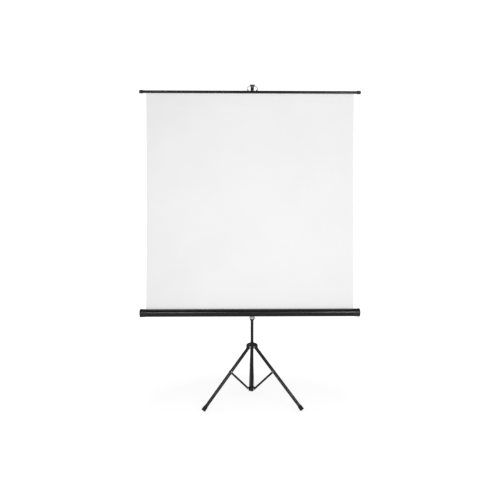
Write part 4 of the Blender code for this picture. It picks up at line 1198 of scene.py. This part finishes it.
@dataclass
class Stand(SubAssembly):
    """The hub, the legs with their braces and feet, and the spider."""

    hub_edge: float = 0.7 * MM
    spider_edge: float = 0.5 * MM
    leg_wall: float = 1.2 * MM
    leg_top: float = 12.0 * MM
    leg_edge: float = 0.25 * MM
    plug_edge: float = 0.4 * MM
    spacer: float = 2.0 * MM
    brace_thickness: float = 2.0 * MM
    brace_edge: float = 0.35 * MM
    brace_edge_steps: int = 2
    ear_thickness: float = 3.5 * MM
    pin_radius: float = 3.0 * MM
    pin_head: float = 5.5 * MM
    pin_rise: float = 1.8 * MM
    rivet_radius: float = 2.5 * MM
    rivet_head: float = 4.5 * MM
    rivet_rise: float = 1.5 * MM
    foot_length: float = 36.0 * MM
    foot_socket: float = 27.0 * MM
    foot_chamfer: float = 2.0 * MM
    foot_flare: float = 1.5 * MM
    foot_top_edge: float = 0.9 * MM
    foot_sole_edge: float = 2.4 * MM
    groove_places: Triple = (0.33, 0.48, 0.63)
    groove_step: float = 0.03
    groove_depth: float = 0.9 * MM
    sole_cut: float = 1.8 * MM

    def __post_init__(self) -> None:
        """Read the linkage's sizes from the rear leg's nodes."""
        pin, rivet, ear = (middle_of(node + "_rear") for node in ("hub_pin", "leg_rivet", "spider_rivet"))
        self.pivot_radius = pin.y - AXIS.y
        self.pivot_height = pin.z
        self.leg_angle = math.atan2(rivet.y - pin.y, pin.z - rivet.z)
        self.leg_to_brace = math.hypot(rivet.y - pin.y, pin.z - rivet.z)
        self.brace_length = math.hypot(rivet.y - ear.y, rivet.z - ear.z)
        self.leg_radius = width_of("leg_tube_rear") / 2
        self.foot_radius = width_of("foot_rear") / 2
        rest = (self.foot_radius - self.foot_chamfer) * math.sin(self.leg_angle) - self.sole_cut
        self.leg_length = (self.pivot_height - rest) / math.cos(self.leg_angle)
        self.brace_inside = self.leg_radius + GAP + self.spacer
        self.brace_outside = self.brace_inside + self.brace_thickness
        self.ear_inside = self.brace_outside + GAP

    def build(self) -> None:
        """Make the stand's pieces."""
        self.refine("hub", "hub", self.finishes.plastic, self.hub_edge)
        self.refine("spider", "column", self.finishes.plastic, self.spider_edge)
        for place in Place:
            self.build_pin(place)
            self.build_leg(place)
            self.build_leg_rivet(place)
            self.build_foot(place)
            self.build_brace(place)
            self.build_spider_rivet(place)

    def column_side(self, place: Place, height: float) -> Matrix:
        """Return a spot beside the column, over a leg's direction, at a height."""
        return COLUMN_PLACE @ place.turn @ Matrix.Translation((0, self.pivot_radius, height))

    def leg_spot(self, place: Place) -> Matrix:
        """Return the spot of a leg: its pivot at the origin, the leg along -Z."""
        return self.column_side(place, self.pivot_height) @ Matrix.Rotation(self.leg_angle, 4, "X")

    def brace_spot(self, place: Place) -> Matrix:
        """Return the spot where a brace joins its leg, turned as the leg is."""
        return self.leg_spot(place) @ Matrix.Translation((0, 0, -self.leg_to_brace))

    def add_rivet(self, node: str, body: str, profile: Profile, spot: Matrix) -> None:
        """Turn a rivet or pin and stand it in a node's place.

        Args:
            node: the frame node.
            body: the body that it rides on.
            profile: its points of (radius, height).
            spot: where it lies.
        """
        self.hand_over(spin(profile, spot, Round.RIVET), node + "_skin", body, self.finishes.steel, node)

    def build_pin(self, place: Place) -> None:
        """Make the pin on which a leg turns in the hub.

        Args:
            place: which leg it is for.
        """
        cheek = width_of("hub_pin_rear") / 2 - self.pin_rise
        half = dome(self.pin_head, self.pin_rise, cheek) + [(self.pin_radius, cheek)]
        self.add_rivet("hub_pin_" + place.label, "hub", half + mirrored(half),
                       self.column_side(place, self.pivot_height) @ ALONG_X)

    def build_leg(self, place: Place) -> None:
        """Make a leg's tube and the plug in its upper end.

        Args:
            place: which leg it is.
        """
        body = "leg_" + place.label
        tube_end = -self.leg_length + self.foot_length - self.foot_socket + GAP
        profile = tube(self.leg_radius, self.leg_radius - self.leg_wall, -self.leg_top, tube_end)
        leg = spin(profile, self.leg_spot(place), Round.SMALL, ring=True, edge=self.leg_edge)
        # The leg's lighter paint carries painted light, standing in for reflections of the floor and
        # surroundings.
        self.hand_over(leg, "leg_skin_" + place.label, body, self.finishes.leg_paint,
                       "leg_tube_" + place.label)
        self.refine("leg_plug_" + place.label, body, self.finishes.plastic, self.plug_edge)

    def build_leg_rivet(self, place: Place) -> None:
        """Make the shouldered rivet that joins a brace to its leg.

        Args:
            place: which leg it is on.
        """
        head, shank = self.rivet_head, self.rivet_radius
        spacer, inner = self.brace_inside - GAP, self.leg_radius + GAP
        profile = dome(head, self.rivet_rise, self.ear_inside) + [
            (shank, self.ear_inside), (shank, spacer), (head, spacer), (head, inner), (shank, inner),
            (shank, -inner)] + mirrored(dome(head, self.rivet_rise, inner))
        self.add_rivet("leg_rivet_" + place.label, "leg_" + place.label, profile,
                       self.brace_spot(place) @ ALONG_X)

    def build_foot(self, place: Place) -> None:
        """Make a rubber foot, ribbed round its side and worn flat on the floor.

        Args:
            place: which leg it is on.
        """
        node = "foot_" + place.label
        end, outer, bore = -self.leg_length, self.foot_radius, self.leg_radius + GAP
        top = end + self.foot_length
        floor = top - self.foot_socket
        rim = outer - self.foot_flare
        profile = [(0, floor), (bore, floor), (bore, top), (rim, top), (outer, end)]
        profile = rounded(profile, 3, self.foot_top_edge)[:-1]
        for share in self.groove_places:
            for steps, depth in ((-1, 0.0), (0, self.groove_depth), (1, self.groove_depth), (2, 0.0)):
                profile.append((outer - depth, top - (share + steps * self.groove_step) * self.foot_length))
        profile = rounded(profile + [(outer, end), (0, end)], len(profile), self.foot_sole_edge)
        shape = spin(profile, self.leg_spot(place), Round.MIDDLE)
        cut = bmesh.ops.bisect_plane(shape, geom=shape.verts[:] + shape.edges[:] + shape.faces[:],
                                     plane_co=(0, 0, 0), plane_no=(0, 0, 1), clear_inner=True)["geom_cut"]
        sole = [item for item in cut if isinstance(item, bmesh.types.BMEdge)]
        bmesh.ops.contextual_create(shape, geom=sole)
        bmesh.ops.recalc_face_normals(shape, faces=shape.faces)
        self.hand_over(shape, node + "_skin", "leg_" + place.label, self.finishes.rubber, node)

    def build_brace(self, place: Place) -> None:
        """Make a flat brace and the rivet at its spider end.

        Args:
            place: which leg it belongs to.
        """
        body = "brace_" + place.label
        # The brace's lighter paint carries painted light, standing in for reflections of the floor and
        # surroundings.
        self.refine(body, body, self.finishes.leg_paint, self.brace_edge, self.brace_edge_steps)
        lean = math.asin(self.leg_to_brace * math.sin(self.leg_angle) / self.brace_length)
        spot = self.brace_spot(place) @ Matrix.Rotation(-self.leg_angle - lean, 4, "X") @ Matrix.Translation(
            (0, 0, -self.brace_length)) @ Matrix.Rotation(math.radians(-90.0), 4, "Y")
        shank, inner = self.rivet_radius, -self.brace_inside + GAP
        profile = dome(self.rivet_head, self.rivet_rise - GAP, inner) + [
            (shank, inner), (shank, -self.brace_outside), (0, -self.brace_outside)]
        self.add_rivet("brace_rivet_" + place.label, body, profile, spot)

    def build_spider_rivet(self, place: Place) -> None:
        """Make the rivet in one ear of the spider.

        Args:
            place: which leg's brace it holds.
        """
        low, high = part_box("spider")
        outer = self.ear_inside + self.ear_thickness + GAP
        profile = dome(self.rivet_head, self.rivet_rise, outer) + [
            (self.rivet_radius, outer), (self.rivet_radius, self.ear_inside), (0, self.ear_inside)]
        self.add_rivet("spider_rivet_" + place.label, "column", profile,
                       self.column_side(place, (low.z + high.z) / 2) @ ALONG_X)


def by_ray(tree: bpy.types.NodeTree, base: float, rays: dict[str, Socket | float]) -> Socket:
    """Return a value that depends on the kind of ray.

    Args:
        tree: the node tree.
        base: the value for the other rays.
        rays: the value for each kind of ray, by its name in the Light Path node.

    Returns:
        The chosen value's socket.
    """
    path = tree.nodes.new("ShaderNodeLightPath")
    chosen = base
    for ray, value in rays.items():
        choose = tree.nodes.new("ShaderNodeMix")
        for name, source in (("A", chosen), ("B", value), ("Factor", path.outputs[ray])):
            connect(tree, choose.inputs[name], source)
        chosen = choose.outputs["Result"]
    return chosen


@dataclass(frozen=True)
class Softbox:
    """A soft studio light: its place, target, size and power, and whether reflections show it."""

    name: str
    place: Triple
    target: Triple
    size: Point
    power: float
    mirrored: bool = True

    def build(self) -> None:
        """Add the light to the scene."""
        light = bpy.data.lights.new(self.name, "AREA")
        light.shape = "RECTANGLE"
        light.size, light.size_y = self.size
        light.energy = self.power
        holder = bpy.data.objects.new(self.name, light)
        holder.visible_camera = False
        holder.visible_glossy = self.mirrored
        bpy.context.scene.collection.objects.link(holder)
        aim = (Vector(self.target) - Vector(self.place)).to_track_quat("-Z", "Y")
        holder.matrix_world = Matrix.Translation(self.place) @ aim.to_matrix().to_4x4()


@dataclass
class Studio:
    """The floor, the lights, the white surroundings and the camera."""

    floor_size: float = 40.0
    floor_colour: float = 0.4
    floor_seen: float = 0.25
    floor_gloss: float = 0.45
    floor_roughness: float = 0.9
    floor_bounce: float = 0.05
    floor_shine: float = 0.14
    floor_lift: float = 0.822
    white_lift: float = 1.1
    white_from: float = 0.7
    white_at: float = 2.6
    surround_light: float = 0.5
    surround_gloss: float = 0.09
    surround_white: float = 1.1
    lens: float = 60.3
    sensor: float = 36.0
    distance: float = 6.248
    yaw: float = 1.58
    roll: float = 0.045
    eye: float = 1.6006
    shift: Point = (-0.00056, -0.11892)
    boxes: tuple[Softbox, ...] = (
        Softbox("left_softbox", (-0.8, -4.4, 2.1), (0.0, -0.13, 1.4), (0.8, 0.6), 29.0),
        Softbox("right_softbox", (1.65, -4.4, 2.1), (0.0, -0.13, 1.4), (1.3, 0.6), 65.0),
        Softbox("front_fill", (-0.1, -3.4, 0.5), (0.0, -0.13, 1.0), (2.6, 1.0), 29.5, mirrored=False),
    )

    def build(self) -> None:
        """Set up the whole studio."""
        self.build_floor()
        self.build_world()
        for box in self.boxes:
            box.build()
        self.build_camera()

    def build_floor(self) -> None:
        """Lay a pale floor that looks white and keeps the shadows."""
        shape = bmesh.new()
        bmesh.ops.create_grid(shape, x_segments=1, y_segments=1, size=self.floor_size / 2)
        mesh = bpy.data.meshes.new("floor")
        shape.to_mesh(mesh)
        shape.free()
        floor = bpy.data.objects.new("floor", mesh)
        bpy.context.scene.collection.objects.link(floor)
        graph = NodeGraph("pale_floor")
        shades = {"Is Glossy Ray": self.floor_gloss, "Is Camera Ray": self.floor_seen}
        graph.feed("Base Color", by_ray(graph.tree, self.floor_colour, shades))
        graph.feed("Roughness", self.floor_roughness)
        reach = graph.node("VectorMath", operation="LENGTH", vector=graph.place).outputs["Value"]
        lift = graph.spread(reach, self.floor_lift, self.white_lift, self.white_from, self.white_at)
        glow = {"Is Glossy Ray": self.floor_shine, "Is Camera Ray": lift}
        graph.feed("Emission Color", WHITE)
        graph.feed("Emission Strength", by_ray(graph.tree, self.floor_bounce, glow))
        mesh.materials.append(graph.material)

    def build_world(self) -> None:
        """Make the surroundings white to the camera, soft as light and dim in reflections."""
        world = bpy.data.worlds.new("studio_world")
        bpy.context.scene.world = world
        world.use_nodes = True
        tree = world.node_tree
        background = tree.nodes["Background"]
        background.inputs["Color"].default_value = WHITE
        rays = {"Is Glossy Ray": self.surround_gloss, "Is Camera Ray": self.surround_white}
        tree.links.new(by_ray(tree, self.surround_light, rays), background.inputs["Strength"])

    def build_camera(self) -> None:
        """Place the camera where the photograph was taken from."""
        data = bpy.data.cameras.new("camera")
        data.lens = self.lens
        data.sensor_width = self.sensor
        data.shift_x, data.shift_y = self.shift
        camera = bpy.data.objects.new("camera", data)
        bpy.context.scene.collection.objects.link(camera)
        yaw, back = math.radians(self.yaw), self.distance
        place = Vector((-back * math.sin(yaw), FABRIC_DEPTH - back * math.cos(yaw), self.eye))
        turn = Matrix.Rotation(-yaw, 4, "Z")
        tilt = Matrix.Rotation(math.radians(90.0), 4, "X")
        roll = Matrix.Rotation(math.radians(self.roll), 4, "Z")
        camera.matrix_world = Matrix.Translation(place) @ turn @ tilt @ roll
        bpy.context.scene.camera = camera


class Screen:
    """The whole projector screen."""

    def __init__(self) -> None:
        """Make the finishes and the groups of pieces."""
        finishes = Finishes()
        kinds = (Column, Extension, TopBar, Case, Fabric, Carriage, Stand)
        self.groups = [kind(finishes) for kind in kinds]

    def build(self) -> None:
        """Build every group of pieces."""
        for group in self.groups:
            LOG.info("building %s", type(group).__name__)
            group.build()


def main() -> None:
    """Build the screen and its studio."""
    logging.basicConfig(level=logging.INFO, format="%(name)s: %(message)s")
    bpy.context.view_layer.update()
    Screen().build()
    Studio().build()
    bpy.context.scene.view_settings.view_transform = "Standard"
    bpy.context.view_layer.update()


if __name__ == "__main__":
    main()
